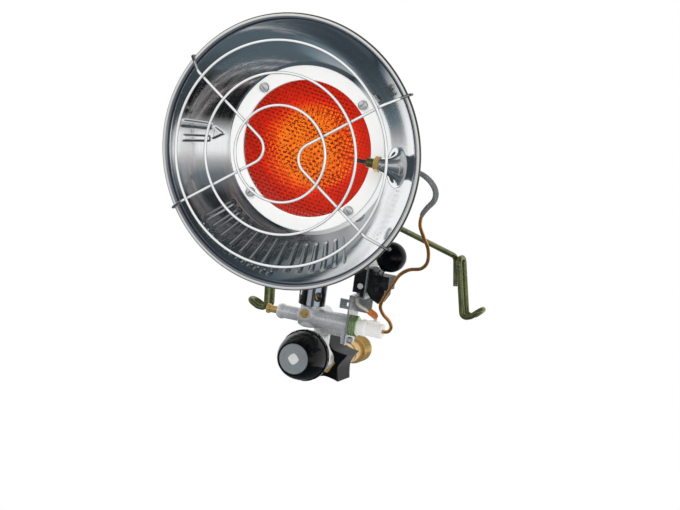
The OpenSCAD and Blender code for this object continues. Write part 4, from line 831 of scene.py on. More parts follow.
def bowl_shape(sides=820):
    """The pressed bowl: a profile turned about the bowl's axis, made of the seat's flat, a fillet, an arc of
    a circle of the bowl's radius, and the rolled rim, then back along the rear at the sheet's thickness.
    The wall moves towards the arc's centre by the pressed relief. Faces under the boss are left out."""
    drop = BOWL_R - FILLET_R
    fillet_h = SEAT_Z + FILLET_R
    fillet_r = math.sqrt(drop**2 - (BOWL_C - fillet_h) ** 2)
    meet = math.asin(fillet_r / drop)
    turn_in = np.linspace(0, meet, 7)
    arc_front = np.linspace(meet, math.asin(WALL_END / BOWL_R), 46)
    arc_back = np.linspace(math.asin(REAR_END / (BOWL_R + SHEET)), meet, 30)
    roll = np.radians(np.linspace(160, -150, 17))

    def fillet(r):
        return np.stack([fillet_r + r * np.sin(turn_in), fillet_h - r * np.cos(turn_in)], -1)

    def wall(r, a):
        return np.stack([r * np.sin(a), BOWL_C - r * np.cos(a)], -1)

    seat = [[FLAT_IN, SEAT_Z], [FLAT_OUT, SEAT_Z]]
    front = [seat, fillet(FILLET_R), wall(BOWL_R, arc_front)[1:], [[LIP_IN, -0.1]]]
    bead = [np.stack([RIM_R + BEAD_R * np.cos(roll), BEAD_R * np.sin(roll)], -1)]
    back = [wall(BOWL_R + SHEET, arc_back), fillet(FILLET_R + SHEET)[-2::-1], [[FLAT_IN, SEAT_Z - SHEET]]]
    profile = np.vstack([*front, *bead, *back])
    t = around(sides)
    r, h = profile[:, :1], profile[:, 1:]
    lift = pressed_relief(t[None, :] + 0 * r, r + 0 * t[None, :])
    lift = np.where((r > 68) & (r < 103), lift, 0)
    reach = np.hypot(r, BOWL_C - h)
    r, h = r * (1 - lift / reach), h + lift * (BOWL_C - h) / reach
    grid = revolved(r, h, t)
    faces = sheet_faces(len(profile), sides, close_rows=True)
    under = unit(grid[faces].mean(1) - [0, 0, BOWL_C]) @ [math.sin(BOSS_TURN), 0, -math.cos(BOSS_TURN)]
    foot = bpy.context.scene.heater_sizes.boss_foot / MM
    return dish(grid), faces[under < math.cos((foot - BOSS_OVERLAP) / BOWL_R)]


def boss_shape(sides=96, steps=26):
    """The pressed boss: a cubic sweep from a small ring facing the bowl's axis, which it leaves square, to a
    ring on the bowl's wall, which it joins along the wall, so that it flares like a trumpet."""
    foot = bpy.context.scene.heater_sizes.boss_foot / MM / BOWL_R
    v = around(sides)[None, :, None]
    aim = np.array([math.sin(BOSS_TURN), 0.0, -math.cos(BOSS_TURN)])
    out_way, up = np.array([math.cos(BOSS_TURN), 0.0, math.sin(BOSS_TURN)]), np.array([0.0, 1.0, 0.0])
    spread = np.cos(v) * out_way + np.sin(v) * up
    centre = np.array([0.0, 0.0, BOWL_C])
    end = centre + (BOWL_R - 0.04) * (math.cos(foot) * aim + math.sin(foot) * spread)
    end_way = -math.sin(foot) * aim + math.cos(foot) * spread
    lip = np.array([[1.8, 0.0], [4.7, 0.0], [5.3, 0.18], [5.62, 0.55]])
    ring = np.cos(v) * [0.0, 0.0, 1.0] + np.sin(v) * up
    start = np.array([BOSS_FACE + 1.1, 0.0, BOSS_DEPTH]) + BOSS_FACE_R * ring
    face = np.array([BOSS_FACE, 0.0, BOSS_DEPTH]) + lip[:, :1, None] * ring + lip[:, 1:, None] * [1.0, 0.0, 0.0]
    u = np.linspace(0, 1, steps)[:, None, None]
    flare = ((2 * u**3 - 3 * u**2 + 1) * start + (u**3 - 2 * u**2 + u) * 15.0 * np.array([1.0, 0.0, 0.0])
             + (3 * u**2 - 2 * u**3) * end + (u**3 - u**2) * 17.0 * end_way)
    grid = np.concatenate([face, flare])
    return dish(grid.reshape(-1, 3)), sheet_faces(len(grid), sides)


# ---------------------------------------------------------------- guard
GUARD_OUT, SPOKE_OUT = 20.45, 18.15
GUARD_RINGS = {"outer": 175.0, "middle": 125.0, "inner": 75.0}
LEG_ANGLE, LEG_FOOT = math.radians(35.6), 5.899
SPOKE_BEND, RIM_BEND, RIM_GAP = 12.4, 6, 1.3
WELD_R, WELD_H = 1.55, 1.75


def leg_at(away):
    """Where a spoke's leg is at that distance from the bowl's axis."""
    run = math.sqrt(away**2 - (LEG_FOOT * math.sin(LEG_ANGLE)) ** 2) - LEG_FOOT * math.cos(LEG_ANGLE)
    return LEG_FOOT + run * math.cos(LEG_ANGLE), run * math.sin(LEG_ANGLE)


def spoke_line(side):
    """The bent wire of one spoke: hooked over the rim, along a leg, round the point and back to the rim."""
    wrap = BEAD_R + RIM_GAP
    turn = leg_at(RIM_R + wrap * math.sqrt(2) - SPOKE_OUT)
    a, rim = math.atan2(turn[1], turn[0]), RIM_R + wrap
    half = wrap * math.tan(math.radians(22.5))
    over = [rim * math.cos(a), -rim * math.sin(a)]
    lower = [[*over, -4.0], [*over, half], [turn[0], -turn[1], SPOKE_OUT]]
    upper = [[x, -y, z] for x, y, z in lower[::-1]]
    bends = [wrap, RIM_BEND, SPOKE_BEND, RIM_BEND, wrap]
    path = corner_path([*lower, [LEG_FOOT, 0, SPOKE_OUT], *upper], bends, 10)
    return dish(path * [side, 1, 1])


def weld_spots():
    """A small nugget of weld wherever a leg passes behind a ring: an oval turned about the bowl's axis."""
    a = np.linspace(-math.pi / 2, math.pi / 2, 9)
    oval = np.stack([WELD_R * np.cos(a), WELD_H * np.sin(a)], -1)
    spots = []
    for d in GUARD_RINGS.values():
        x, y = leg_at(d / 2)
        for sx in (-1, 1):
            for sy in (-1, 1):
                centre = dish([sx * x, sy * y, (GUARD_OUT + SPOKE_OUT) / 2])
                spots.append(turned(oval, along((0, -1, 0), centre), 12))
    return joined(*spots)


# ---------------------------------------------------------------- burner
SCREEN_EDGE, SCREEN_TURN, WEAVE_SHARE = 54.5, math.radians(-8.0), 0.98
DOME_R, DOME_TOP, DOME_DROP = 32.0, -53.6, 7.9


def woven_screen():
    """Woven wire cloth: every wire runs level with the cloth's dome, which falls with the square of the
    distance from its middle, and rises and falls by a cosine of the distance along it, in step with the
    wires that it crosses. Wires end on the window's edge."""
    sizes = bpy.context.scene.heater_sizes
    r, pitch, rise = sizes.screen_wire / MM / 2, sizes.screen_pitch / MM, sizes.screen_rise / MM
    count = int(SCREEN_EDGE // pitch)
    sides, per = 6, 4
    lane = np.arange(-count, count + 1) * pitch
    run = np.arange(-count * per - per, count * per + per + 1) * pitch / per
    half = np.sqrt(np.maximum(SCREEN_EDGE**2 - lane**2, 0))
    a = around(sides)
    shapes = []
    for way in (0, 1):
        x = np.clip(run[None, :], -half[:, None], half[:, None])
        y = lane[:, None] + 0 * x
        phase = math.pi * (x / pitch + np.round(lane / pitch)[:, None] + way)
        z = SEAT_Z - 0.1 + rise * (1 - (x**2 + y**2) / SCREEN_EDGE**2) + r * WEAVE_SHARE * np.cos(phase)
        slope = -r * WEAVE_SHARE * math.pi / pitch * np.sin(phase)
        steep = np.sqrt(1 + slope**2)
        tilt = (-slope / steep)[..., None]
        grid = np.stack([x[..., None] + r * np.sin(a) * tilt, y[..., None] + r * np.cos(a) + 0 * x[..., None],
                         z[..., None] + r * np.sin(a) / steep[..., None]], -1)
        if way:
            grid = grid[..., [1, 0, 2]]
        one = sheet_faces(len(run), sides)
        faces = (one[None] + (np.arange(len(lane)) * len(run) * sides)[:, None, None]).reshape(-1, 4)
        shapes.append((grid.reshape(-1, 3), faces))
    (warp, warp_faces), (weft, weft_faces) = shapes
    faces = np.vstack([warp_faces, weft_faces + len(warp)])
    c, s = math.cos(SCREEN_TURN), math.sin(SCREEN_TURN)
    return dish(np.vstack([warp, weft]) @ np.array([[c, s, 0], [-s, c, 0], [0, 0, 1]])), faces


# ---------------------------------------------------------------- inlet, knob and wheel
THREAD_R, THREAD_PITCH, THREAD_DEPTH = 11.2, 1.814, 0.95
WHEEL_R, LOBE_FOOT, LOBE_CUT, LOBE_TURN = 20.5, 9.5, 9.3, math.radians(12)
BAND_R, FLUTES, FLUTE_DEPTH = 21.16, 12, 0.75
TICK_HALF, TICK_STEP, TICK_MIDDLE, TICK_FOOT = 0.35, 13, -80, 1.3


def thread(t, h, r):
    """Left-hand thread: a triangle wave of height and turn cuts into the outer radius, fading at the ends."""
    wave = np.abs(((h / THREAD_PITCH + t / TAU) % 1.0) * 2 - 1)
    return -THREAD_DEPTH * np.clip(wave * 1.3 - 0.15, 0, 1) * bump(h, 0.0, 6.6, 1.2) * (r > THREAD_R - 0.6)


def lobes(t, h, r):
    """Five pointed lobes: the radius falls between them with the sine of two and a half times the turn, to a
    power that keeps the points sharp and the hollows round."""
    fall = (np.sin(2.5 * (t - LOBE_TURN)) ** 2 + 0.002) ** 0.3 - 0.155
    return -LOBE_CUT * fall * (np.clip(r - LOBE_FOOT, 0, None) / (WHEEL_R - LOBE_FOOT)) ** 1.5


def grips(t, h, r):
    """Twelve narrow flutes round the knob's rear band."""
    near = np.abs((t / TAU * FLUTES) % 1.0 - 0.5)
    return -FLUTE_DEPTH * bump(near, 0.5, 0.05, 0.035) * bump(h, 2.5, 1.6, 0.5) * (r > 20.7)


def squared(t, h, r):
    """A square with round corners: the radius at which the two axes' shares, each to the power, make one."""
    power = 1.45
    return r * (1 / (np.abs(np.cos(t)) ** power + np.abs(np.sin(t)) ** power) ** (1 / power) - 1)


def ticks(count=5):
    """Plain graduation marks on the knob's rear band: thin bars square to its edge, in an arc below."""
    bars = []
    for k in range(count):
        turn = math.radians(TICK_MIDDLE + (k - (count - 1) / 2) * TICK_STEP)
        w, long = TICK_HALF, 1.5 if k % 2 else 2.3
        outline = np.array([[w, 0], [w, long], [-w, long], [-w, 0]])
        u = turn + outline[:, 0] / 21.0
        base = np.stack([BAND_R * np.cos(u), BAND_R * np.sin(u), TICK_FOOT + outline[:, 1]], -1)
        inner = base * [0.985, 0.985, 1]
        pts = np.vstack([inner, base])
        bars.append((pts, [[0, 1, 2, 3], [7, 6, 5, 4], [0, 4, 5, 1], [1, 5, 6, 2], [2, 6, 7, 3], [3, 7, 4, 0]]))
    return joined(*bars)


# ---------------------------------------------------------------- operators
SIDES = (("right", 1), ("left", -1))
BALL_R, BALL_AT, STEM_LEAN = 12.3, (61.5, TUBE_Y + 1, 104.3), 0.43
WIRE_R, WIRE_GAP = 0.88, 1.2
WIRE_ROUTE = [[40, -5, 28.2], [40, -5, 24], [41, -6.5, 20.5], [44.5, -9, 18.5], [49.5, -8, 16.5], [54, -4.5, 13.8],
              [56, -0.8, 10.8], [56, 0, 7.3]]
LEAD_R, SLEEVE_R, SLEEVE_SWELL = 1.45, 1.75, 0.55
LEAD_UPPER = [[88, 23, 0], [95, 23, 0], [102, 25, -2], [108, 29, -7], [111, 34, -14], [109, 40, -22], [102, 46, -30],
              [97, 51, -37], [95, 56, -46], [97, 62, -55]]
LEAD_LOWER = [[100, -25, 77], [99, -19, 66], [93, -15, 59], [83, -13, 56], [75, -12, 50], [70, -11, 41],
              [65, -11, 31], [62, -10, 22], [64, -6, 15], [68, -2, 10], [70, 0, 5], [68, 0, 1], [64, 0, 0],
              [61, 0, 0]]
KNOB_BACK, BELL_R, BELL_H, LIP_R = (0, -120.0, 11.5), 20.35, 26.9, 13.75
ROD_R, HUB = 2.38, np.array([0.0, -98.7, 147.0])
COLLAR_X, COLLAR_Y, HOOK_GAP = 81.5, 22.0, 4.7


class HEATER_OT_finishes(bpy.types.Operator):
    """Makes every finish and gives each CAD node its own"""

    bl_idname = "heater.finishes"
    bl_label = "Finishes"

    def execute(self, context):
        make_finishes(context.scene.heater_colours)
        finish_nodes()
        return {"FINISHED"}


class HEATER_OT_bowl(bpy.types.Operator):
    """Makes the polished bowl with its rolled rim, pressed ribs and boss"""

    bl_idname = "heater.bowl"
    bl_label = "Bowl and boss"

    def execute(self, context):
        new_piece("bowl_surface", bowl_shape(), "polished_reflector", "heater", ["reflector"], sharp=50)
        boss = new_piece("wall_boss", boss_shape(), "polished_reflector", "heater", sharp=60)
        wall = boss.modifiers.new("sheet", "SOLIDIFY")
        wall.thickness, wall.offset = 0.9 * MM, -1.0
        return {"FINISHED"}


class HEATER_OT_guard(bpy.types.Operator):
    """Makes the guard's rings, spokes and welds"""

    bl_idname = "heater.guard"
    bl_label = "Guard"

    def execute(self, context):
        wire = context.scene.heater_sizes.guard_wire / MM
        for name, across in GUARD_RINGS.items():
            ring = hoop(across, wire, GUARD_OUT, dish)
            new_piece(f"guard_{name}_wire", ring, "guard_wire", "heater", [f"guard_ring_{name}"])
        for name, side in SIDES:
            spoke = swept(spoke_line(side), wire / 2, 14, taper=0.7)
            new_piece(f"guard_spoke_{name}_wire", spoke, "guard_wire", "heater", [f"guard_spoke_{name}"])
        new_piece("guard_welds", weld_spots(), "guard_wire", "heater")
        return {"FINISHED"}


class HEATER_OT_burner(bpy.types.Operator):
    """Makes the retaining ring, the woven screen, the perforated dome and the cup"""

    bl_idname = "heater.burner"
    bl_label = "Burner"

    def execute(self, context):
        ring = soft_loop([[54.0, -37.35], [54.0, -34.6], [65.5, -34.6], [65.5, -37.35]], 0.9, 6)
        ring = turned(ring, dish, 160, closed=True)
        new_piece("retaining_ring_surface", ring, "white_enamel", "heater", ["retaining_ring"])
        new_piece("woven_screen", woven_screen(), "glowing_screen", "heater", ["burner_screen"], sharp=80)
        away = np.linspace(0, DOME_R, 26)
        dome = np.stack([away, DOME_TOP - DOME_DROP * (away / DOME_R) ** 2], -1)
        edge = [[32.4, -61.0], [51.0, -61.0], [51.6, -61.5], [51.6, -62.2], [32.0, -62.2]]
        plate = np.vstack([dome, edge, dome[::-1] - [0, SHEET]])
        new_piece("perforated_dome", turned(plate, dish, 144), "glowing_dome", "heater", ["radiant_dome"])
        lining = [[49.5, -62.5], [53.3, -62.5], [53.3, -39.6], [53.75, -39.6], [53.75, -63.0], [49.5, -63.0]]
        lining = turned(soft_loop(lining, 0.1, 2), dish, 144, closed=True)
        new_piece("cup_lining", lining, "glowing_cup", "heater")
        cup = [[10.2, -64.0], [53.8, -64.0, 1.6], [53.8, -40.0, 0.6], [64.9, -40.0], [64.9, -40.78],
               [54.58, -40.78, 1.2], [54.58, -64.78, 2.6], [45.0, -64.78, 1], [42.5, -63.9, 1], [38.0, -63.9, 1],
               [35.5, -64.78, 1], [10.2, -64.78]]
        cup = turned(soft_loop(cup, 0.3, 5), dish, 144, closed=True)
        new_piece("burner_cup_surface", cup, "plated_sheet", "heater", ["burner_cup"], sharp=70)
        dress(burner_gasket=0.15, ring_screws=0.25, ring_nuts=0.4)
        return {"FINISHED"}


class HEATER_OT_pipework(bpy.types.Operator):
    """Makes the elbow, the mixer tube and its jet"""

    bl_idname = "heater.pipework"
    bl_label = "Pipework"

    def execute(self, context):
        dress(burner_elbow=0.3, mixer_tube=0.3, orifice=0.3)
        return {"FINISHED"}


class HEATER_OT_valve(bpy.types.Operator):
    """Makes the gas valve's casting, plug, plunger, magnet nut and lead block"""

    bl_idname = "heater.valve"
    bl_label = "Gas valve"

    def execute(self, context):
        cast("valve_body", 8)
        dress(front_plug=0.25, plunger_rod=0.4, magnet_unit=0.2, magnet_nut=0.7, interrupter_block=0.6)
        return {"FINISHED"}


class HEATER_OT_switches(bpy.types.Operator):
    """Makes the plate, the tip-over switch and the button with its wires"""

    bl_idname = "heater.switches"
    bl_label = "Switch and button"

    def execute(self, context):
        dress(switch_plate=0.35, plate_screws=0.3, tip_switch=0.6, button_housing=0.6, switch_rivets=0.45,
              button_stem=0.3)
        a = np.radians(np.linspace(0, 157, 34))
        ball = np.stack([BALL_R * np.sin(a), -BALL_R * np.cos(a)], -1)
        ball[:, 0] += np.where(np.abs(a - math.pi / 2) < 0.03, -0.10, 0.0)
        ball = np.vstack([ball, [[3.2, 12.4], [2.25, 12.6]]])
        ball = turned(ball, along((-STEM_LEAN, 0.0, -math.sqrt(1 - STEM_LEAN**2)), BALL_AT), 96)
        new_piece("button_ball_surface", ball, "gloss_black", "start_button", ["button_ball"])
        line = curve_through(np.array(WIRE_ROUTE) + [0, TUBE_Y, BARREL_H], 6)
        way = unit(np.gradient(line, axis=0))
        apart = unit(np.array([0.0, 1.0, 0.0]) - way * way[:, 1:2])
        leads = joined(*[swept(line + gap * apart, WIRE_R, 12)[:2] for gap in (-WIRE_GAP, WIRE_GAP)])
        new_piece("switch_leads", leads, "wire_white", "heater", ["switch_wires"])
        sleeve = swept(line[26:37], np.interp(np.arange(11), [0, 2, 8, 10], [2.3, 2.75, 2.75, 2.3]), 20)
        new_piece("wire_sleeve_surface", sleeve, "sleeve_orange", "heater", ["wire_sleeve"])
        return {"FINISHED"}


class HEATER_OT_thermocouple(bpy.types.Operator):
    """Makes the probe, its fittings and the lead in its sleeve"""

    bl_idname = "heater.thermocouple"
    bl_label = "Thermocouple"

    def execute(self, context):
        probe = [[0.0, 0.0], [1.0, 0.15], [1.6, 1.4, 0.8], [1.6, 12.0], [1.45, 12.6], [1.6, 13.2], [1.6, 43.4],
                 [0.0, 43.4]]
        probe = turned(soft_profile(probe, 0.3), along((1, 0, 0), (44.9, PROBE_Y, DISH_H)), 32)
        new_piece("thermocouple_probe_surface", probe, "probe_steel", "heater", ["thermocouple_probe"])
        dress(thermocouple_collar=0.4, thermocouple_nut=0.5)
        upper = np.array(LEAD_UPPER, float) + [0, -DISH_OUT, DISH_H]
        lower = np.array(LEAD_LOWER, float) + [0, TUBE_Y, BARREL_H]
        line = curve_through(np.vstack([upper, lower]), 6)
        new_piece("thermocouple_lead_surface", swept(line, LEAD_R, 14), "copper", "heater", ["thermocouple_lead"])
        cover = line[6:43]
        share = np.linspace(0, 1, len(cover))
        sleeve = swept(cover, SLEEVE_R + SLEEVE_SWELL * np.sin(share * math.pi) ** 0.6, 24)
        new_piece("lead_sleeve_surface", sleeve, "sleeve_grey", "heater", ["lead_sleeve"])
        return {"FINISHED"}


class HEATER_OT_regulator(bpy.types.Operator):
    """Makes the regulator and its knob"""

    bl_idname = "heater.regulator"
    bl_label = "Regulator and knob"

    def execute(self, context):
        cast("regulator_body", 6)
        dress(regulator_bonnet=0.8)
        face = along((0, -1, 0), KNOB_BACK)
        last = math.acos(LIP_R / BELL_R)
        a = np.linspace(math.asin(6.2 / 27.0 * math.sin(last)), last, 26)
        bell = np.stack([BELL_R * np.cos(a), BELL_H * np.sin(a) / math.sin(last)], -1)
        hollow = [[0.0, 13.7], [8.1, 13.7], [8.1, 3.0], [11.0, 3.0], [11.0, 12.0], [17.4, 12.0], [17.4, 0.6],
                  [18.0, 0.0]]
        skirt = soft_profile([[19.2, 0.0], [20.5, 0.0], [21.1, 0.6], [21.1, 4.3], [20.5, 5.0], [19.6, 5.1],
                              [19.6, 6.0], [20.2, 6.1, 0.1]], 0.4, 4)
        lip = soft_profile([[LIP_R, BELL_H], [13.2, 26.95], [12.7, 26.5], [12.55, 25.95], [0.0, 25.95]], 0.3, 4)
        knob = turned(np.vstack([hollow, skirt[:-1], bell[:-1], lip]), face, 240, grips)
        new_piece("regulator_knob_surface", knob, "gloss_black", "regulator_knob", ["regulator_knob"], sharp=50)
        label = [[0.0, 26.5], [8.3, 26.5], [8.5, 26.3], [8.7, 26.5], [12.1, 26.5], [12.5, 26.1], [12.5, 25.97]]
        label = turned(soft_profile(label, 0.12, 3), face, 96)
        new_piece("knob_label_surface", label, "label_grey", "regulator_knob", ["knob_label"])
        mark = turned(soft_profile([[0.0, 26.75], [4.5, 26.75], [4.7, 26.45]], 0.1, 3), face, 96, squared)
        new_piece("knob_mark", mark, "label_white", "regulator_knob")
        points, faces = ticks()
        new_piece("knob_ticks", (face(points), faces), "label_white", "regulator_knob")
        return {"FINISHED"}


class HEATER_OT_inlet(bpy.types.Operator):
    """Makes the inlet's nipple, threaded nut and handwheel"""

    bl_idname = "heater.inlet"
    bl_label = "Inlet and handwheel"

    def execute(self, context):
        dress(inlet_nipple=0.4)
        on_axis = along((0, 1, 0), (0, 0, 0))
        threaded = np.stack([np.full(96, THREAD_R), np.linspace(-7.6, 7.6, 96)], -1)
        shank = [[5.56, -73.0], [8.6, -73.0], [8.98, -72.6], [8.98, -26.0], [8.3, -25.6], [8.3, -23.4],
                 [8.98, -23.0], [8.98, -8.0], [10.2, -8.0], [10.9, -7.8]]
        nose = [[10.8, 7.85], [10.2, 8.0], [6.0, 8.0], [5.56, 7.6]]
        nut = turned(np.vstack([shank, threaded, nose]), on_axis, 144, thread, closed=True)
        new_piece("inlet_nut_surface", nut, "brass", "inlet_wheel", ["inlet_nut"], sharp=50)
        wheel = soft_loop([[6.6, -73.9], [11.0, -73.9, 1], [11.6, -73.2, 0.5], [16.5, -73.2, 0.6],
                           [17.3, -73.9, 0.6], [19.3, -73.9, 0.9], [WHEEL_R, -72.4, 1.0], [WHEEL_R, -45.6, 1.0],
                           [19.3, -44.1, 0.9], [9.1, -44.1]], 0.4, 5)
        wheel = turned(wheel, on_axis, 240, lobes, closed=True)
        new_piece("handwheel_surface", wheel, "wheel_black", "inlet_wheel", ["handwheel"], sharp=50)
        return {"FINISHED"}


class HEATER_OT_bracket(bpy.types.Operator):
    """Makes the collar bracket, its hooks and the clamp that carries it"""

    bl_idname = "heater.bracket"
    bl_label = "Collar bracket"

    def execute(self, context):
        dress(tube_clamp=0.35, clamp_screw=0.3, bracket_hub=0.5, hub_clip=0.2)
        for name, side in SIDES:
            grip = leaning([side * COLLAR_X, COLLAR_Y, 80.0])
            foot = leaning([side * COLLAR_X, COLLAR_Y, 55.0])
            out = unit(np.array([grip[0], 0.0, grip[2] - HUB[2]]))
            arm = swept(corner_path([HUB + 6.2 * out, HUB + 15.2 * out, grip, foot], [8, 6], 10), ROD_R, 18)
            new_piece(f"bracket_arm_{name}_rod", arm, "olive_zinc", "bracket", [f"bracket_arm_{name}"])
            bends = np.array([[0, 0.5, 0], [0, 6, 0], [3, 6, -50], [11, 6, -48.5], [19, 6, -43]])
            start = np.array([side * (COLLAR_X + HOOK_GAP), COLLAR_Y, 79.0])
            front, rear = [[leaning(start + bend * [side, way, 1]) for bend in bends] for way in (1, -1)]
            hook = swept(corner_path(front + rear[::-1], [4, 4, 6, 5.5, 5.5, 6, 4, 4], 8), ROD_R, 18)
            new_piece(f"collar_hook_{name}_rod", hook, "olive_zinc", "bracket", [f"collar_hook_{name}"])
        return {"FINISHED"}


# ---------------------------------------------------------------- stage
VIEW_BEARING, VIEW_HEIGHT, VIEW_ROLL = math.radians(21.16), math.radians(6.30), math.radians(8.38)
VIEW_TARGET, VIEW_DISTANCE, VIEW_LENS = np.array([0.0527, -0.216, 0.1143]), 2.400, 36 * 3107.4 / 680
LAMP_AIM, LAMP_DISTANCE, LAMP_SIZE = Vector((0.0, -0.15, 0.13)), 1.6, 0.8
FLOOR_R, FLOOR_AT, FLOOR_GLOW, FLOOR_IN_MIRRORS = 260.0, (0, -100), 0.42, (0.085, 0.115, 0.135)
STUDIO = {
    "right": [(-90, 0.10), (-60, 0.085), (-48, 0.05), (-42, 0.008), (-19, 0.007), (-12, 0.36), (-5, 0.95), (5, 0.95),
              (13, 0.42), (21, 0.20), (28, 0.17), (36, 0.03), (50, 0.04), (62, 0.09), (90, 0.10)],
    "front": [(-90, 0.10), (-45, 0.09), (-30, 0.11), (-15, 0.12), (-4, 0.20), (6, 0.50), (20, 0.55), (30, 0.13),
              (50, 0.10), (90, 0.10)],
    "left": [(-90, 0.10), (-50, 0.07), (-25, 0.14), (-8, 0.42), (10, 0.60), (30, 0.45), (42, 0.60), (54, 0.16),
             (90, 0.10)],
    "back": [(-90, 0.25), (-45, 0.55), (-25, 0.95), (35, 0.95), (55, 0.40), (75, 0.12), (90, 0.10)],
}


def studio_light(world):
    """A soft studio: plain white for the camera, even light on matt surfaces, and for mirrors four walls
    (right, front, left, back), each a scale of tones from floor to ceiling, faded into one another."""
    net = Net(world.node_tree)
    eye, mirror, glass = net.add("ShaderNodeLightPath", out=("Is Camera Ray", "Is Glossy Ray", "Is Transmission Ray"))
    x, y, z = net.axes(net.add("ShaderNodeTexCoord", out="Generated"))
    rise = z.math("ARCSINE") / math.pi + 0.5
    bearing = x.math("ARCTAN2", y * -1.0) * (180 / math.pi)
    walls = {}
    for wall, stops in STUDIO.items():
        walls[wall] = net.ramp(rise, cooled([(angle / 180 + 0.5, tone) for angle, tone in stops], 0.84, 1.10))
    tone = net.mix(bearing.between(14.0, 34.0), walls["front"], walls["right"])
    tone = net.mix(bearing.between(100.0, 125.0), tone, walls["back"])
    tone = net.mix(bearing.between(-62.0, -44.0), walls["left"], tone)
    tone = net.mix(bearing.between(-135.0, -118.0), walls["back"], tone)
    tone = net.mix(mirror, net.ramp(rise, [(0.0, 0.40), (0.5, 0.60), (1.0, 0.86)]), tone)
    background = net.tree.nodes["Background"].inputs
    net.feed(background["Color"], net.mix(eye, net.mix(glass, tone, WHITE), WHITE))
    background["Strength"].default_value = 1.0


def soft_lamp(name, bearing, height, power):
    """A square lamp that faces the heater's middle and shows in no mirror."""
    b, h = math.radians(bearing), math.radians(height)
    way = Vector((math.sin(b) * math.cos(h), -math.cos(b) * math.cos(h), math.sin(h)))
    lamp = bpy.data.lights.new(name, "AREA")
    lamp.size, lamp.energy = LAMP_SIZE, power
    held = bpy.data.objects.new(name, lamp)
    facing = way.to_track_quat("Z", "Y").to_matrix().to_4x4()
    held.matrix_world = Matrix.Translation(LAMP_AIM + way * LAMP_DISTANCE) @ facing
    held.visible_glossy = False
    bpy.context.scene.collection.objects.link(held)


def view_camera():
    """The camera: its bearing and height, and then its roll, turn the axes that it looks along."""
    a, e = VIEW_BEARING, VIEW_HEIGHT
    back = np.array([math.sin(a) * math.cos(e), -math.cos(a) * math.cos(e), math.sin(e)])
    right = np.array([math.cos(a), math.sin(a), 0.0])
    level = np.stack([back, right, np.cross(back, right)])
    c, s = math.cos(VIEW_ROLL), math.sin(VIEW_ROLL)
    back, right, up = level @ np.array([[c, 0, s], [0, 1, 0], [-s, 0, c]])
    view = bpy.data.cameras.new("view")
    view.lens, view.sensor_width, view.clip_end = VIEW_LENS, 36.0, 50.0
    camera = bpy.data.objects.new("view", view)
    columns = np.stack([right, up, back, VIEW_TARGET + back * VIEW_DISTANCE], 1)
    camera.matrix_world = Matrix([*columns.tolist(), [0, 0, 0, 1]])
    return camera


def pale_floor(depth):
    """The floor's disc, with a soft edge, and its pale matt finish."""
    profile = [[0.0, 0.0], [150.0, 0.0], [FLOOR_R - 2.0, 0.0], [FLOOR_R, -1.0]]
    points, faces = turned(profile, along((0, 0, 1), (*FLOOR_AT, -depth)), 96)
    floor = bpy.data.objects.new("floor", bpy.data.meshes.new("floor"))
    floor.data.from_pydata(points * MM, [], faces)
    material = bpy.data.materials.new("pale_floor")
    material.use_nodes = True
    net = Net(material.node_tree)
    eye = net.add("ShaderNodeLightPath", out="Is Camera Ray")
    net.give(Base_Color=net.noise(30.0).between(0.3, 0.7, 0.80, 0.84), Roughness=0.9, Specular_IOR_Level=0.1,
             Emission_Color=WHITE, Emission_Strength=eye * FLOOR_GLOW)
    net.paint_mirror_tone(FLOOR_IN_MIRRORS)
    floor.data.materials.append(material)
    return floor


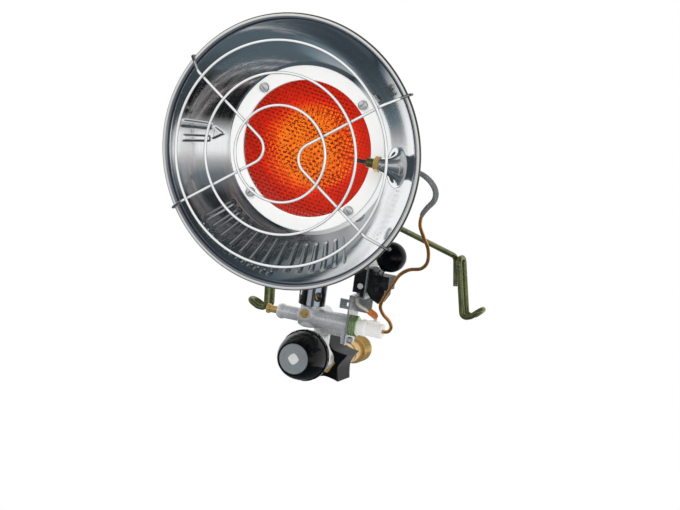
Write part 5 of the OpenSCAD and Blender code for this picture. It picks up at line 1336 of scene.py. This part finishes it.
class HEATER_OT_stage(bpy.types.Operator):
    """Makes the pale floor, the soft studio light and the camera"""

    bl_idname = "heater.stage"
    bl_label = "Floor, light and camera"

    def execute(self, context):
        scene = context.scene
        scene.camera = view_camera()
        scene.collection.objects.link(scene.camera)
        scene.view_settings.view_transform = "Standard"
        scene.world = bpy.data.worlds.new("studio")
        scene.world.use_nodes = True
        studio_light(scene.world)
        soft_lamp("key_lamp", -35, 38, 9.0)
        soft_lamp("fill_lamp", 60, 25, 4.0)
        floor = pale_floor(scene.heater_sizes.floor_drop / MM)
        scene.collection.objects.link(floor)
        return {"FINISHED"}


# ---------------------------------------------------------------- panel and registration
OPERATORS = (
    HEATER_OT_finishes, HEATER_OT_bowl, HEATER_OT_guard, HEATER_OT_burner, HEATER_OT_pipework, HEATER_OT_valve,
    HEATER_OT_switches, HEATER_OT_thermocouple, HEATER_OT_regulator, HEATER_OT_inlet, HEATER_OT_bracket,
    HEATER_OT_stage,
)


class HEATER_PT_panel(bpy.types.Panel):
    """Sizes, colours and steps of the heater"""

    bl_label = "Portable heater"
    bl_idname = "HEATER_PT_panel"
    bl_space_type = "VIEW_3D"
    bl_region_type = "UI"
    bl_category = "Heater"

    def draw(self, context):
        for group_of_values in (context.scene.heater_sizes, context.scene.heater_colours):
            box = self.layout.box()
            for key in group_of_values.__annotations__:
                box.prop(group_of_values, key)
        for operator in OPERATORS:
            self.layout.operator(operator.bl_idname)


CLASSES = (HeaterSizes, HeaterColours, *OPERATORS, HEATER_PT_panel)


def register():
    for cls in CLASSES:
        bpy.utils.register_class(cls)
    bpy.types.Scene.heater_sizes = bpy.props.PointerProperty(type=HeaterSizes)
    bpy.types.Scene.heater_colours = bpy.props.PointerProperty(type=HeaterColours)


def unregister():
    del bpy.types.Scene.heater_sizes
    del bpy.types.Scene.heater_colours
    for cls in reversed(CLASSES):
        bpy.utils.unregister_class(cls)


def main():
    """Registers the add-on and runs its steps in order."""
    register()
    bpy.ops.heater.finishes()
    bpy.ops.heater.bowl()
    bpy.ops.heater.guard()
    bpy.ops.heater.burner()
    bpy.ops.heater.pipework()
    bpy.ops.heater.valve()
    bpy.ops.heater.switches()
    bpy.ops.heater.thermocouple()
    bpy.ops.heater.regulator()
    bpy.ops.heater.inlet()
    bpy.ops.heater.bracket()
    bpy.ops.heater.stage()


if __name__ == "__main__":
    main()
